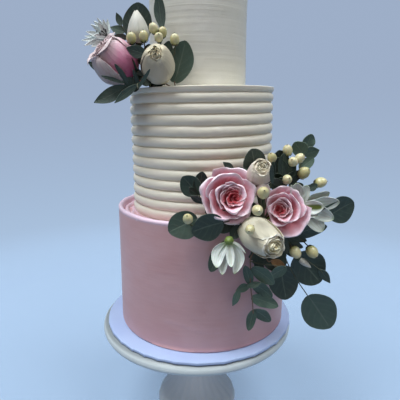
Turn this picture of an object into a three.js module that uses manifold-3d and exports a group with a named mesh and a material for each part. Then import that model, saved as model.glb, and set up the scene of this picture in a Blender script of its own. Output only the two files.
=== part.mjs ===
// Three-tier wedding cake on its board and pedestal stand, with two sprays of flowers, berries and leaves.
// Millimetres, +Z up, -Y to the front. The origin is the centre of the stand's foot, on its flat underside.
import * as THREE from "three";
import { mergeVertices } from "three/addons/utils/BufferGeometryUtils.js";
import Module from "manifold-3d";

const wasm = await Module();
wasm.setup();

// Stand: a shallow plate with a lip that turns down, on a bell-shaped foot.
const FOOT_RADIUS = 56;
const NECK_RADIUS = 21;
const STAND_HEIGHT = 140;
const PLATE_RADIUS = 130;
const LIP_DROP = 11.4;
const PLATE_THICKNESS = 7;

// Board and tiers. A centre is [x, y], since hand-stacked tiers are never quite in line.
const BOARD_RADIUS = 127;
const BOARD_THICKNESS = 4;
const BOARD_CENTRE = [3.3, 0];
const BOTTOM_RADIUS = 112;
const BOTTOM_HEIGHT = 157.2;
const BOTTOM_CENTRE = [8, 3];
const MIDDLE_RADIUS = 90;
const MIDDLE_HEIGHT = 152;
const MIDDLE_CENTRE = [7, 0];
const TOP_RADIUS = 59;
const TOP_HEIGHT = 148;
const TOP_CENTRE = [2.7, 0];

// Frosting relief.
const LIP_WIDTH = 7.5;
const LIP_HEIGHT = 7.7;
const FOLD_HEIGHT = 1.9;
const FOLD_COUNT = 7;
const RIDGE_COUNT = 12;
const RIDGE_PITCH = 12.085;
const RIDGE_DEPTH = 2.3;
const TOP_BAND = 5.7;
const SLOPE = 0.016;

// Gap left between two pieces that touch, and the gap that a cut leaves round a neighbour.
const TOUCH = 0.3;
const CLEARANCE = 0.45;

const BOARD_Z = STAND_HEIGHT + TOUCH;
const BOTTOM_Z = BOARD_Z + BOARD_THICKNESS + TOUCH;
const FLOOR_Z = BOTTOM_HEIGHT - LIP_HEIGHT;
const MIDDLE_Z = BOTTOM_Z + FLOOR_Z + TOUCH;
const TOP_Z = MIDDLE_Z + MIDDLE_HEIGHT + TOUCH;

const STEM_RADIUS = 0.9;
const LEAF_THICKNESS = 1.2;

const materials = new Map();

function material(name, colour, roughness) {
  if (!materials.has(name)) {
    const made = new THREE.MeshStandardMaterial({ color: colour, roughness, metalness: 0 });
    made.name = name;
    materials.set(name, made);
  }
  return materials.get(name);
}

const glazedCeramic = () => material("glazed_ceramic", 0xdedbd0, 0.2);
const boardFoil = () => material("board_paper", 0xe6e6f2, 0.4);
const pinkFrosting = () => material("pink_frosting", 0xdba9ad, 0.5);
const ivoryFrosting = () => material("ivory_frosting", 0xe4dfcf, 0.5);
const pinkPetal = () => material("pink_petal", 0xd9929f, 0.6);
const ivoryPetal = () => material("ivory_petal", 0xe9e4d0, 0.6);
const whitePetal = () => material("white_petal", 0xeceee8, 0.6);
const greenLeaf = () => material("green_leaf", 0x4d625a, 0.6);
const driedLeaf = () => material("dried_leaf", 0x7c5a33, 0.7);
const ivoryBerry = () => material("ivory_berry", 0xd9d3a8, 0.35);

// A closed body from a first point, rings of points that run anticlockwise about the way ahead, and a last point.
function ringBody(first, rings, last) {
  const count = rings[0].length;
  const points = [first, ...rings.flat(), last];
  const end = points.length - 1;
  const at = (ring, step) => 1 + ring * count + (step % count);
  const faces = [];
  for (let step = 0; step < count; step += 1) {
    faces.push(0, at(0, step + 1), at(0, step));
    for (let ring = 0; ring + 1 < rings.length; ring += 1) {
      faces.push(at(ring, step), at(ring, step + 1), at(ring + 1, step + 1));
      faces.push(at(ring, step), at(ring + 1, step + 1), at(ring + 1, step));
    }
    faces.push(at(rings.length - 1, step), at(rings.length - 1, step + 1), end);
  }
  const geometry = new THREE.BufferGeometry();
  const flat = new Float32Array(points.flatMap((point) => [point.x, point.y, point.z]));
  geometry.setAttribute("position", new THREE.BufferAttribute(flat, 3));
  geometry.setIndex(faces);
  return geometry;
}

// A body turned about the Z axis. shape(angle, radius, height) may move each point, to make lobes or folds.
function turned(profile, segments, shape = (angle, radius, height) => [radius, height]) {
  const rings = profile.slice(1, -1).map(([radius, height]) =>
    Array.from({ length: segments }, (_, step) => {
      const angle = (step / segments) * 2 * Math.PI;
      const [r, z] = shape(angle, radius, height);
      return new THREE.Vector3(r * Math.cos(angle), r * Math.sin(angle), z);
    }),
  );
  const first = new THREE.Vector3(0, 0, profile[0][1]);
  const last = new THREE.Vector3(0, 0, profile[profile.length - 1][1]);
  return ringBody(first, rings, last);
}

// ---- joins and cuts ----

function solidOf(geometry) {
  const merged = mergeVertices(geometry, 1e-4);
  return new wasm.Manifold(
    new wasm.Mesh({
      numProp: 3,
      vertProperties: new Float32Array(merged.attributes.position.array),
      triVerts: new Uint32Array(merged.index.array),
    }),
  );
}

function geometryOf(solid) {
  const mesh = solid.getMesh();
  const geometry = new THREE.BufferGeometry();
  geometry.setAttribute("position", new THREE.BufferAttribute(mesh.vertProperties, 3));
  geometry.setIndex(new THREE.BufferAttribute(mesh.triVerts, 1));
  return geometry;
}

const joined = (solids) => solids.reduce((sum, solid) => sum.add(solid));

// The same body with its surface moved out by the clearance.
function grown(geometry) {
  const copy = mergeVertices(geometry.clone(), 1e-4);
  copy.computeVertexNormals();
  const points = copy.attributes.position;
  const normals = copy.attributes.normal;
  for (let index = 0; index < points.count; index += 1) {
    points.setXYZ(
      index,
      points.getX(index) + normals.getX(index) * CLEARANCE,
      points.getY(index) + normals.getY(index) * CLEARANCE,
      points.getZ(index) + normals.getZ(index) * CLEARANCE,
    );
  }
  copy.deleteAttribute("normal");
  return copy;
}

const placed = [];

// Cuts a body back from every piece already placed that it would meet, and keeps its largest part.
function clearOfPlaced(geometry) {
  geometry.computeBoundingBox();
  let solid = solidOf(geometry);
  let touched = false;
  for (const other of placed) {
    if (!other.box.intersectsBox(geometry.boundingBox)) continue;
    if (solid.intersect(other.solid).isEmpty()) continue;
    solid = solid.subtract(other.solid);
    touched = true;
  }
  if (!touched) return geometry;
  const parts = solid.decompose();
  parts.sort((one, two) => two.volume() - one.volume());
  return geometryOf(parts[0]);
}

// Adds a named mesh at its own anchor point.
function place(group, name, geometry, anchor, look) {
  const room = grown(geometry);
  room.computeBoundingBox();
  placed.push({ box: room.boundingBox, solid: solidOf(room).add(solidOf(geometry)) });
  geometry.translate(-anchor.x, -anchor.y, -anchor.z);
  const mesh = new THREE.Mesh(geometry, look);
  mesh.name = name;
  mesh.position.copy(anchor);
  group.add(mesh);
}

const point = ([x, y, z]) => new THREE.Vector3(x, y, z);

// Turns a body that was made along +Z so that it grows from a seat towards another point, with a twist.
function aimed(geometry, seat, towards, twist = 0) {
  const way = point(towards).sub(point(seat)).normalize();
  const turn = new THREE.Quaternion().setFromUnitVectors(new THREE.Vector3(0, 0, 1), way);
  geometry.rotateZ(THREE.MathUtils.degToRad(twist));
  geometry.applyQuaternion(turn);
  geometry.translate(...seat);
  return geometry;
}

// ---- stand, board and tiers ----

function standBody() {
  const under = STAND_HEIGHT - PLATE_THICKNESS;
  const low = STAND_HEIGHT - LIP_DROP;
  return turned(
    [
      [0, 0],
      [FOOT_RADIUS, 0],
      [FOOT_RADIUS + 0.8, 5],
      [FOOT_RADIUS - 3, 16],
      [FOOT_RADIUS - 15, 29],
      [NECK_RADIUS + 7, 47],
      [NECK_RADIUS, 72],
      [NECK_RADIUS + 2, 100],
      [NECK_RADIUS + 13, 121],
      [NECK_RADIUS + 34, under - 1.5],
      [PLATE_RADIUS - 14, under],
      [PLATE_RADIUS - 4.5, low],
      [PLATE_RADIUS - 1.5, low],
      [PLATE_RADIUS, low + 3],
      [PLATE_RADIUS - 2.5, STAND_HEIGHT - 3],
      [PLATE_RADIUS - 9, STAND_HEIGHT],
      [0, STAND_HEIGHT],
    ],
    32,
  );
}

function boardBody() {
  return turned(
    [
      [0, 0],
      [BOARD_RADIUS - 0.6, 0],
      [BOARD_RADIUS, BOARD_THICKNESS - 0.8],
      [BOARD_RADIUS - 0.8, BOARD_THICKNESS],
      [0, BOARD_THICKNESS],
    ],
    32,
  );
}

// The frosting floor inside the bottom tier's lip lies in low folds, with a flat bed for the middle tier.
function bottomTierBody() {
  const inner = BOTTOM_RADIUS - LIP_WIDTH;
  const foldFree = MIDDLE_RADIUS + 4.3;
  const folded = (angle, radius, height) => {
    if (height !== FLOOR_Z || radius > inner || radius <= foldFree) return [radius, height];
    const wave = Math.sin(FOLD_COUNT * angle + radius * 0.9) + 0.5 * Math.sin(3 * angle + 1);
    return [radius, height + FOLD_HEIGHT * (0.9 + 0.6 * wave)];
  };
  return turned(
    [
      [0, 0],
      [BOTTOM_RADIUS - 0.5, 0],
      [BOTTOM_RADIUS, 2],
      [BOTTOM_RADIUS, BOTTOM_HEIGHT - 3],
      [BOTTOM_RADIUS - 1, BOTTOM_HEIGHT - 0.8],
      [BOTTOM_RADIUS - 3, BOTTOM_HEIGHT],
      [BOTTOM_RADIUS - 5.5, BOTTOM_HEIGHT - 1.4],
      [inner, FLOOR_Z],
      [inner - 3, FLOOR_Z],
      [inner - 6, FLOOR_Z],
      [inner - 8, FLOOR_Z],
      [foldFree, FLOOR_Z],
      [0, FLOOR_Z],
    ],
    32,
    folded,
  );
}

// Rounded ridges run round the middle tier, each between two narrow grooves, under a plain band with a sharp edge.
function middleTierBody() {
  const profile = [
    [0, 0],
    [MIDDLE_RADIUS - 2, 0],
  ];
  const firstGroove = MIDDLE_HEIGHT - TOP_BAND - RIDGE_COUNT * RIDGE_PITCH;
  for (let ridge = 0; ridge < RIDGE_COUNT; ridge += 1) {
    const groove = firstGroove + ridge * RIDGE_PITCH;
    if (ridge > 0) profile.push([MIDDLE_RADIUS - RIDGE_DEPTH, groove]);
    profile.push([MIDDLE_RADIUS - 0.2, groove + RIDGE_PITCH * 0.3]);
    profile.push([MIDDLE_RADIUS - 0.2, groove + RIDGE_PITCH * 0.7]);
  }
  profile.push([MIDDLE_RADIUS - RIDGE_DEPTH / 2, MIDDLE_HEIGHT - TOP_BAND]);
  profile.push([MIDDLE_RADIUS + 0.4, MIDDLE_HEIGHT - TOP_BAND + 1.2]);
  profile.push([MIDDLE_RADIUS + 0.4, MIDDLE_HEIGHT - 0.5]);
  profile.push([MIDDLE_RADIUS - 0.8, MIDDLE_HEIGHT]);
  profile.push([0, MIDDLE_HEIGHT]);
  return turned(profile, 26, (angle, radius, height) => {
    const share = Math.min(1, height / (2 * RIDGE_PITCH));
    return [radius, height + SLOPE * share * radius * Math.cos(angle)];
  });
}

// The top tier stands on the slope of the tier below, and is level again a little way up.
function topTierBody() {
  const sloped = (angle, radius, height) => {
    const share = Math.max(0, 1 - height / 40);
    return [radius, height + SLOPE * share * radius * Math.cos(angle)];
  };
  return turned(
    [
      [0, 0],
      [TOP_RADIUS - 0.6, 0],
      [TOP_RADIUS, 1.5],
      [TOP_RADIUS, 40],
      [TOP_RADIUS, TOP_HEIGHT - 2],
      [TOP_RADIUS - 1.6, TOP_HEIGHT],
      [0, TOP_HEIGHT],
    ],
    26,
    sloped,
  );
}

function addCake(group) {
  const parts = [
    ["stand", standBody(), [0, 0], 0, glazedCeramic()],
    ["board", boardBody(), BOARD_CENTRE, BOARD_Z, boardFoil()],
    ["bottom_tier", bottomTierBody(), BOTTOM_CENTRE, BOTTOM_Z, pinkFrosting()],
    ["middle_tier", middleTierBody(), MIDDLE_CENTRE, MIDDLE_Z, ivoryFrosting()],
    ["top_tier", topTierBody(), TOP_CENTRE, TOP_Z, ivoryFrosting()],
  ];
  for (const [name, geometry, centre, height, look] of parts) {
    geometry.translate(centre[0], centre[1], height);
    place(group, name, geometry, point([centre[0], centre[1], height]), look);
  }
}

// ---- roses and buds ----

// The hidden heart of each spray, where its stems gather.
const RIGHT_HEART = [74, -98, 302];
const TOP_HEART = [-56, -62, 462];

// An open rose on its stem: each ring of petals stands above the crease of the next one out.
const OPEN_ROSE = [
  [0.02, 0.02],
  [0.16, 0.04],
  [0.62, 0.2],
  [0.93, 0.5],
  [1, 0.72],
  [0.84, 0.6],
  [0.76, 0.86],
  [0.6, 0.72],
  [0.52, 0.97],
  [0.37, 0.82],
  [0.29, 1],
  [0.12, 0.86],
  [0, 0.92],
];

// A rosebud: an egg of wrapped petals, open at the tip.
const ROSEBUD = [
  [0.1, 0.01],
  [0.34, 0.03],
  [0.82, 0.2],
  [1, 0.43],
  [0.93, 0.68],
  [0.62, 0.93],
  [0.45, 1],
  [0.24, 0.9],
  [0, 0.94],
];

// A tight pointed bud: a tall drop.
const POINTED_BUD = [
  [0.1, 0.01],
  [0.5, 0.03],
  [0.95, 0.2],
  [1, 0.38],
  [0.72, 0.68],
  [0.3, 0.92],
  [0, 1],
];

const FLOWER_STEM_RADIUS = 2.2;

// A flower head turned from a profile in shares of its radius and length, with a stem behind it and lobed petals.
function headBody(head, profile, segments, lobes, twist, spread) {
  const { radius: widest, length } = head;
  const stem = [
    [0, -head.stem],
    [FLOWER_STEM_RADIUS, -head.stem],
    [FLOWER_STEM_RADIUS, 0],
  ];
  const petals = profile.map(([radius, height]) => [radius * widest, height * length]);
  return turned([...stem, ...petals.slice(1)], segments, (angle, radius, height) => {
    if (height <= 0) return [radius, height];
    const turn = lobes * angle + twist * (lobes === 5 ? radius / widest : height / length);
    const wide = 1 + spread * Math.cos(turn) + (head.stretch ?? 0) * Math.cos(2 * angle);
    return [radius * wide, height - spread * length * 0.7 * (radius / widest) * Math.cos(turn)];
  });
}

// Name, seat, tip, radius, stem length, look.
const OPEN_ROSES = [
  ["rose_left", [31, -94, 329], [41, -127, 335], 30.5, 7],
  ["rose_right", [100, -84, 309], [93, -116, 314], 27, 10],
];

const BUDS = [
  ["rose_ivory", [47, -113, 305], [83, -131, 282], 19.5, 6, ivoryPetal],
  ["rose_blush", [67, -98, 341], [71, -109, 368], 13.5, 6, ivoryPetal],
  ["rose_top_pink", [-71, -60, 456], [-104, -70, 489], 24, 7, pinkPetal],
  ["rose_top_white", [-40, -78, 449], [-40, -84, 490], 18.5, 1.5, ivoryPetal],
];

const POINTED_BUDS = [
  ["bud_top_white", [-62, -60, 491], [-63.5, -61, 525], 11.5, 14, whitePetal],
  ["bud_blush_low", [72, -106, 332], [69, -113, 348], 8, 4, pinkPetal],
  ["bud_slender", [117, -95, 256], [130, -99, 247], 3.4, 6, whitePetal],
];

function addHeads(group, heads, profile, segments, lobes, twist, spread) {
  for (const [name, seat, tip, radius, stem, look = pinkPetal] of heads) {
    const length = point(seat).distanceTo(point(tip));
    const body = headBody({ radius, length, stem }, profile, segments, lobes, twist, spread);
    place(group, name, clearOfPlaced(aimed(body, seat, tip)), point(seat), look());
  }
}

function addRoses(group) {
  addHeads(group, OPEN_ROSES, OPEN_ROSE, 15, 5, 9, 0.06);
  addHeads(group, BUDS, ROSEBUD, 12, 3, 4, 0.06);
  addHeads(group, POINTED_BUDS, POINTED_BUD, 9, 3, 3, 0.05);
}

// ---- berries ----

// Name, centre, the way its tip points, radius. A berry is a little longer than it is wide.
const BERRIES = [
  ["berry_right_1", [82, -92, 371], [-0.3, -0.5, 0.8], 5],
  ["berry_right_2", [103, -72, 377], [-0.2, -0.4, 0.9], 5.6],
  ["berry_right_3", [108, -80, 365], [-0.4, -0.8, 0.5], 5.4],
  ["berry_right_4", [117, -73, 368], [0.5, -0.5, 0.7], 5.4],
  ["berry_right_5", [122, -76, 352], [0.5, -0.6, 0.6], 6.6],
  ["berry_right_6", [101, -86, 346], [0.2, -0.9, 0.4], 5.4],
  ["berry_right_7", [141, -78, 341], [0.9, -0.4, 0.3], 6],
  ["berry_right_8", [68, -129, 340], [0, -0.9, 0.5], 6.2],
  ["berry_right_9", [62, -134, 323], [0.1, -1, 0.1], 5.6],
  ["berry_right_10", [54, -141, 305], [-0.3, -1, 0], 4.9],
  ["berry_right_11", [111, -101, 266], [0.4, -0.6, -0.6], 6.2],
  ["berry_right_12", [131, -97, 265], [0.4, -0.7, -0.5], 6.4],
  ["berry_left", [-8, -133, 314], [-0.1, -0.7, 0.7], 5.2],
  ["berry_top_1", [-67, -80, 494], [0, -0.4, 0.9], 5.2],
  ["berry_top_2", [-54, -79, 496], [0, -0.4, 0.9], 5],
  ["berry_top_3", [-44, -78, 504], [-0.3, -0.5, 0.8], 4.8],
  ["berry_top_4", [-35, -73, 501], [0.2, -0.4, 0.9], 4.8],
  ["berry_top_5", [-38, -85, 494], [0.1, -0.9, 0.4], 4.6],
  ["berry_top_6", [-22, -78, 493], [0, -0.3, 1], 5],
];
const BERRY_STRETCH = 1.14;
const STALK_LENGTH = 9;
const STALK_RADIUS = 0.7;

function berryBody(radius) {
  const half = radius * BERRY_STRETCH;
  return turned(
    [
      [0, -half - STALK_LENGTH],
      [STALK_RADIUS, -half + 0.4],
      [radius * 0.8, -half * 0.58],
      [radius, half * 0.03],
      [radius * 0.74, half * 0.68],
      [0, half],
    ],
    6,
  );
}

function addBerries(group) {
  for (const [name, centre, way, radius] of BERRIES) {
    const towards = point(centre).add(point(way));
    const body = aimed(berryBody(radius), centre, towards.toArray());
    place(group, name, clearOfPlaced(body), point(centre), ivoryBerry());
  }
}

// ---- leaves, petals and stems ----

// The frame of a blade: along it, across it, and out of its face. Its face looks forward, then rolls about its length.
function bladeFrame(base, tip, roll) {
  const along = tip.clone().sub(base);
  const length = along.length();
  along.normalize();
  const forward = new THREE.Vector3(0, -1, 0);
  const side = new THREE.Vector3().crossVectors(along, forward).normalize();
  side.applyAxisAngle(along, THREE.MathUtils.degToRad(roll));
  const face = new THREE.Vector3().crossVectors(side, along).normalize();
  return { along, side, face, length };
}

// A leaf or petal: a thick midrib and fine edges, cupped across and bowed along, on a stalk from its root.
function bladeSolid(root, blade) {
  const base = point(blade.base);
  const { along, side, face, length } = bladeFrame(base, point(blade.tip), blade.roll ?? 0);
  const { bow = 0.06, cup = 0.15, thick = LEAF_THICKNESS } = blade;
  const broad = blade.round ? [0.03, 0.3, 0.64, 0.92] : [0.05, 0.34, 0.64, 0.88];
  const stations = blade.width < 14 ? [0.06, 0.42, 0.8] : broad;
  const power = blade.round ? 0.55 : 0.9;
  const ringAt = (middle, half) => [
    middle.clone().addScaledVector(face, thick / 2),
    middle.clone().addScaledVector(side, half).addScaledVector(face, cup * half),
    middle.clone().addScaledVector(face, -thick / 2),
    middle.clone().addScaledVector(side, -half).addScaledVector(face, cup * half),
  ];
  const rings = stations.map((share) => {
    const half = (blade.width / 2) * Math.sin(Math.PI * share ** 0.92) ** power;
    const middle = base.clone().addScaledVector(along, share * length);
    middle.addScaledVector(face, -4 * share * (1 - share) * bow * length);
    return ringAt(middle, half);
  });
  const tip = base.clone().addScaledVector(along, length);
  if (root.distanceTo(base) < 1) return solidOf(ringBody(root, rings, tip));
  return solidOf(ringBody(root, [ringAt(base, STEM_RADIUS), ...rings], tip));
}

// A thin square stem along a smooth curve that passes through the given points.
function stemSolid(path, radius = STEM_RADIUS) {
  const curve = new THREE.CatmullRomCurve3(path.map(point));
  const steps = 2 * (path.length - 1);
  const depth = new THREE.Vector3(0, 1, 0);
  const rings = Array.from({ length: steps + 1 }, (_, step) => {
    const middle = curve.getPoint(step / steps);
    const ahead = curve.getTangent(step / steps);
    const across = new THREE.Vector3().crossVectors(depth, ahead).normalize();
    const out = new THREE.Vector3().crossVectors(ahead, across);
    return [across, out, across.clone().negate(), out.clone().negate()].map((way) => {
      return middle.clone().addScaledVector(way, radius);
    });
  });
  return solidOf(ringBody(curve.getPoint(0), rings, curve.getPoint(1)));
}

// Sprigs of leaves. A leaf is [base, tip, width, options]. A stem is a list of points.
// A leaf with no stem has a short stalk towards the heart of its spray.
const SPRIGS = [
  {
    name: "sprig_left_high",
    stems: [[[13, -104, 314], [8, -103, 322], [3, -101, 332]]],
    leaves: [
      [[3, -101, 331], [-14, -104, 352], 23, { round: true, roll: -8 }],
      [[3, -101, 331], [7, -102, 357], 17, { round: true, roll: 14 }],
      [[3, -101, 331], [-7, -113, 342], 8, { roll: 30 }],
      [[8, -103, 322], [-6, -112, 333], 9, { roll: -25 }],
    ],
  },
  {
    name: "sprig_left_low",
    stems: [[[24, -116, 312], [12, -119, 314], [2, -121, 311]]],
    leaves: [[[2, -121, 311], [-28, -126, 298], 30, { round: true, roll: 6 }]],
  },
  {
    name: "sprig_left_big",
    stems: [[[44, -106, 306], [38, -112, 306], [29, -122, 307]]],
    leaves: [
      [[29, -122, 307], [-4, -131, 299], 31, { round: true, roll: -12 }],
      [[38, -112, 306], [8, -114, 307], 15, { roll: 25 }],
    ],
  },
  { name: "leaf_low_left", leaves: [[[28, -117, 280], [16, -120, 251], 16, { round: true }]] },
  { name: "leaf_mid_high", leaves: [[[68, -93, 352], [59, -100, 381], 26, { round: true, roll: 10 }]] },
  {
    name: "sprig_mid_small",
    stems: [[[44, -96, 354], [41, -98, 358], [38, -99, 361]]],
    leaves: [
      [[41, -98, 358], [29, -101, 367], 7, {}],
      [[41, -98, 358], [56, -102, 358], 7, {}],
    ],
  },
  {
    name: "sprig_right_high",
    stems: [[[112, -70, 322], [120, -63, 354], [125, -61, 370], [127, -60, 378]]],
    leaves: [
      [[127, -60, 377], [133, -60, 394], 15, { round: true, roll: 10 }],
      [[125, -61, 370], [113, -62, 385], 18, { round: true, roll: -15 }],
      [[125, -61, 370], [142, -62, 376], 15, { roll: 10 }],
      [[120, -63, 354], [136, -62, 367], 13, { round: true, roll: -20 }],
    ],
  },
  {
    name: "sprig_inner",
    stems: [[[92, -82, 322], [99, -76, 335], [100, -72, 345]]],
    leaves: [
      [[100, -72, 344], [93, -74, 377], 26, { round: true, roll: 15 }],
      [[99, -76, 335], [80, -88, 345], 14, { round: true, roll: 20 }],
    ],
  },
  { name: "leaf_right_round", leaves: [[[154, -74, 300], [183, -72, 317], 34, { round: true, roll: 8 }]] },
  { name: "leaf_right_low", leaves: [[[110, -86, 280], [150, -84, 291], 21, { round: true, roll: 25 }]] },
  {
    name: "sprig_right_big",
    stems: [[[104, -82, 272], [118, -80, 256], [130, -82, 249], [144, -84, 239], [149, -84, 234]]],
    leaves: [
      [[118, -80, 256], [150, -75, 218], 43, { round: true, roll: -8 }],
      [[144, -84, 239], [158, -86, 222], 10, { roll: 15 }],
    ],
  },
  {
    name: "sprig_low_round",
    stems: [[[94, -94, 276], [104, -90, 252], [116, -87, 230], [133, -85, 205]]],
    leaves: [[[133, -85, 206], [163, -84, 162], 42, { round: true, roll: 5, bow: 0.03 }]],
  },
  { name: "leaf_low_dark", leaves: [[[98, -90, 246], [106, -92, 204], 36, { round: true, roll: -10 }]] },
  {
    name: "sprig_hanging",
    stems: [
      [[72, -112, 278], [66, -118, 252], [61, -119, 234], [61, -121, 215], [63, -122, 204]],
      [[66, -118, 252], [81, -116, 247]],
    ],
    leaves: [
      [[61, -119, 234], [51, -122, 256], 11, { roll: -15 }],
      [[66, -118, 252], [85, -120, 240], 14, { round: true, roll: 15 }],
      [[81, -116, 247], [101, -113, 249], 12, { roll: 15 }],
      [[61, -119, 234], [42, -123, 230], 8, { roll: 15 }],
      [[44, -123, 230], [40, -125, 213], 6, { roll: -10 }],
      [[61, -119, 234], [83, -117, 225], 14, { roll: -12 }],
      [[61, -121, 215], [90, -118, 216], 14, { roll: 12 }],
      [[63, -122, 205], [82, -119, 191], 15, { roll: -8 }],
      [[63, -122, 205], [57, -123, 183], 10, {}],
    ],
  },
  {
    name: "leaf_dried",
    look: driedLeaf,
    leaves: [[[82, -110, 260], [99, -110, 252], 9, { roll: 30 }]],
  },
  { name: "leaf_top_bend", leaves: [[[-64, -50, 494], [-63, -52, 535], 32, { round: true, bow: 0.03 }]] },
  { name: "leaf_top_tall", leaves: [[[-36, -64, 504], [-40, -63, 545], 12, { roll: 12 }]] },
  { name: "leaf_top_round", leaves: [[[-24, -66, 450], [-11, -70, 493], 29, { round: true, roll: -12 }]] },
  {
    name: "sprig_top_small",
    stems: [[[-66, -50, 486], [-75, -47, 499], [-79, -46, 506], [-83, -46, 513]]],
    leaves: [
      [[-83, -46, 512], [-88, -46, 526], 7, {}],
      [[-79, -46, 506], [-95, -47, 511], 10, { roll: 10 }],
      [[-75, -47, 499], [-91, -50, 502], 7, { roll: -10 }],
    ],
  },
  { name: "leaf_top_berry", leaves: [[[-54, -85, 484], [-71, -88, 481], 16, { roll: 12 }]] },
  {
    name: "sprig_top_low",
    stems: [[[-62, -66, 452], [-68, -70, 449], [-76, -70, 447]]],
    leaves: [
      [[-75, -70, 447], [-110, -78, 429], 16, { roll: 12 }],
      [[-68, -70, 449], [-75, -84, 436], 8, {}],
    ],
  },
  {
    name: "sprig_top_cross",
    stems: [[[-58, -84, 449], [-60, -95, 447], [-59, -99, 443]]],
    leaves: [
      [[-60, -95, 447], [-83, -101, 428], 8, { roll: -12 }],
      [[-59, -99, 444], [-43, -106, 460], 5, {}],
    ],
  },
  { name: "leaf_top_tip", leaves: [[[-104, -50, 464], [-121, -52, 474], 9, { roll: 10 }]] },
];

// Where a leaf's stalk starts: at its own base on a stem, or behind its base and towards the heart of its spray.
function stalkRoot(sprig, base, tip) {
  const start = point(base);
  if (sprig.stems) return start;
  const heart = point(base[2] > 400 ? TOP_HEART : RIGHT_HEART);
  const inward = heart.sub(start).normalize();
  const back = point(base).sub(point(tip)).normalize();
  return start.addScaledVector(inward, 6).addScaledVector(back, 7);
}

function addSprigs(group) {
  for (const sprig of SPRIGS) {
    const blades = sprig.leaves.map(([base, tip, width, extra]) => {
      return bladeSolid(stalkRoot(sprig, base, tip), { base, tip, width, ...extra });
    });
    const stems = (sprig.stems ?? []).map((path) => stemSolid(path));
    const anchor = point(sprig.leaves[0][0]);
    const body = geometryOf(joined([...stems, ...blades]));
    place(group, sprig.name, clearOfPlaced(body), anchor, (sprig.look ?? greenLeaf)());
  }
}

// ---- lilies and the star flower ----

// A flower of petals that spring from one heart. A petal is [tip, width, roll].
const FLOWERS = [
  {
    name: "lily_hanging",
    heart: [34, -131, 294],
    neck: [40, -122, 302],
    petals: [
      [[18, -137, 266], 11, 20],
      [[26, -140, 253], 10, 0],
      [[35, -143, 262], 8, -5],
      [[48, -135, 257], 11, -15],
      [[40, -127, 262], 9, 0],
    ],
  },
  {
    name: "lily_right",
    heart: [121, -92, 317],
    neck: [110, -84, 313],
    petals: [
      [[110, -96, 334], 11, 20],
      [[149, -88, 328], 14, 10],
      [[160, -88, 322], 9, 0],
      [[150, -96, 310], 11, 10],
      [[135, -108, 312], 13, 0],
      [[134, -96, 293], 17, -20],
    ],
  },
  {
    name: "flower_star",
    heart: [-98, -50, 500],
    neck: [-84, -52, 490],
    petals: [
      [[-126, -54, 496], 6, 10],
      [[-119, -59, 504], 6, 0],
      [[-108, -53, 519], 7, 0],
      [[-101, -56, 517], 6, 0],
      [[-116, -50, 513], 6, -10],
      [[-115, -56, 489], 7, 10],
    ],
  },
];
const HEART_RADIUS = 3;

// The neck of a flower widens into its heart, where the petals start.
function neckSolid(neck, heart) {
  const length = point(neck).distanceTo(point(heart));
  const profile = [
    [0, 0],
    [1.5, 0],
    [HEART_RADIUS, length],
    [0, length + HEART_RADIUS],
  ];
  return solidOf(aimed(turned(profile, 6), neck, heart));
}

function addFlowers(group) {
  for (const flower of FLOWERS) {
    const heart = point(flower.heart);
    const petals = flower.petals.map(([tip, width, roll]) => {
      const start = heart.clone().lerp(point(tip), 0.06);
      const petal = { base: start.toArray(), tip, width, roll, cup: 0.3, bow: 0.1, thick: 1.4 };
      return bladeSolid(start, petal);
    });
    const body = geometryOf(joined([neckSolid(flower.neck, flower.heart), ...petals]));
    place(group, flower.name, clearOfPlaced(body), heart, whitePetal());
  }
}

const weddingCake = new THREE.Group();
const cake = new THREE.Group();
const sprays = new THREE.Group();
weddingCake.add(cake, sprays);
addCake(cake);
addRoses(sprays);
addBerries(sprays);
addFlowers(sprays);
addSprigs(sprays);

export default weddingCake;
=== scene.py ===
"""A three-tier wedding cake with two sprays of fresh flowers, on its board and a glazed pedestal stand."""
import math

import bpy
import numpy as np
from bpy.props import FloatProperty, FloatVectorProperty, IntProperty, PointerProperty
from bpy.types import Operator, Panel, PropertyGroup
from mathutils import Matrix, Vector


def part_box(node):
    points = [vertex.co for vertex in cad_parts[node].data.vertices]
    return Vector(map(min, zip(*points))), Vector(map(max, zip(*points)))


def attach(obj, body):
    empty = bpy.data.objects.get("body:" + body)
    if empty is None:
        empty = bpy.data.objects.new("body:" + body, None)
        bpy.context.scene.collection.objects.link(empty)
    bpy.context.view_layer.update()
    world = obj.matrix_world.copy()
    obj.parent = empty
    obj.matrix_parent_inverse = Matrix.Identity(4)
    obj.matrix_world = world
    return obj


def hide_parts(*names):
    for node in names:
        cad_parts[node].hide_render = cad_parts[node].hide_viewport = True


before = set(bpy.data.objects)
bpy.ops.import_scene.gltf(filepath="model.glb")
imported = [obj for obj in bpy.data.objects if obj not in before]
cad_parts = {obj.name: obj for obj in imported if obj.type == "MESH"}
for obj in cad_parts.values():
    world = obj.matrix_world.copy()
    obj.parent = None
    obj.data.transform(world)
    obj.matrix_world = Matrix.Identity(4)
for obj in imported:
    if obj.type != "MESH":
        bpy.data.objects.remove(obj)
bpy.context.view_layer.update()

bl_info = {
    "name": "Tiered Wedding Cake",
    "version": (1, 0, 0),
    "blender": (4, 5, 0),
    "location": "3D View > Sidebar > Cake",
    "description": "Builds a three-tier wedding cake with fresh flowers on a glazed stand",
    "category": "Add Mesh",
}

ROOT = "root"
# Sizes below are in millimetres, and a mesh is made in metres.
MM = 0.001
CIRCLE = 2 * math.pi


# ---------------------------------------------------------------- shapes


def box_mm(node):
    """Lowest and highest corner of a frame node, in millimetres."""
    low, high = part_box(node)
    return np.array(low) / MM, np.array(high) / MM


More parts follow.
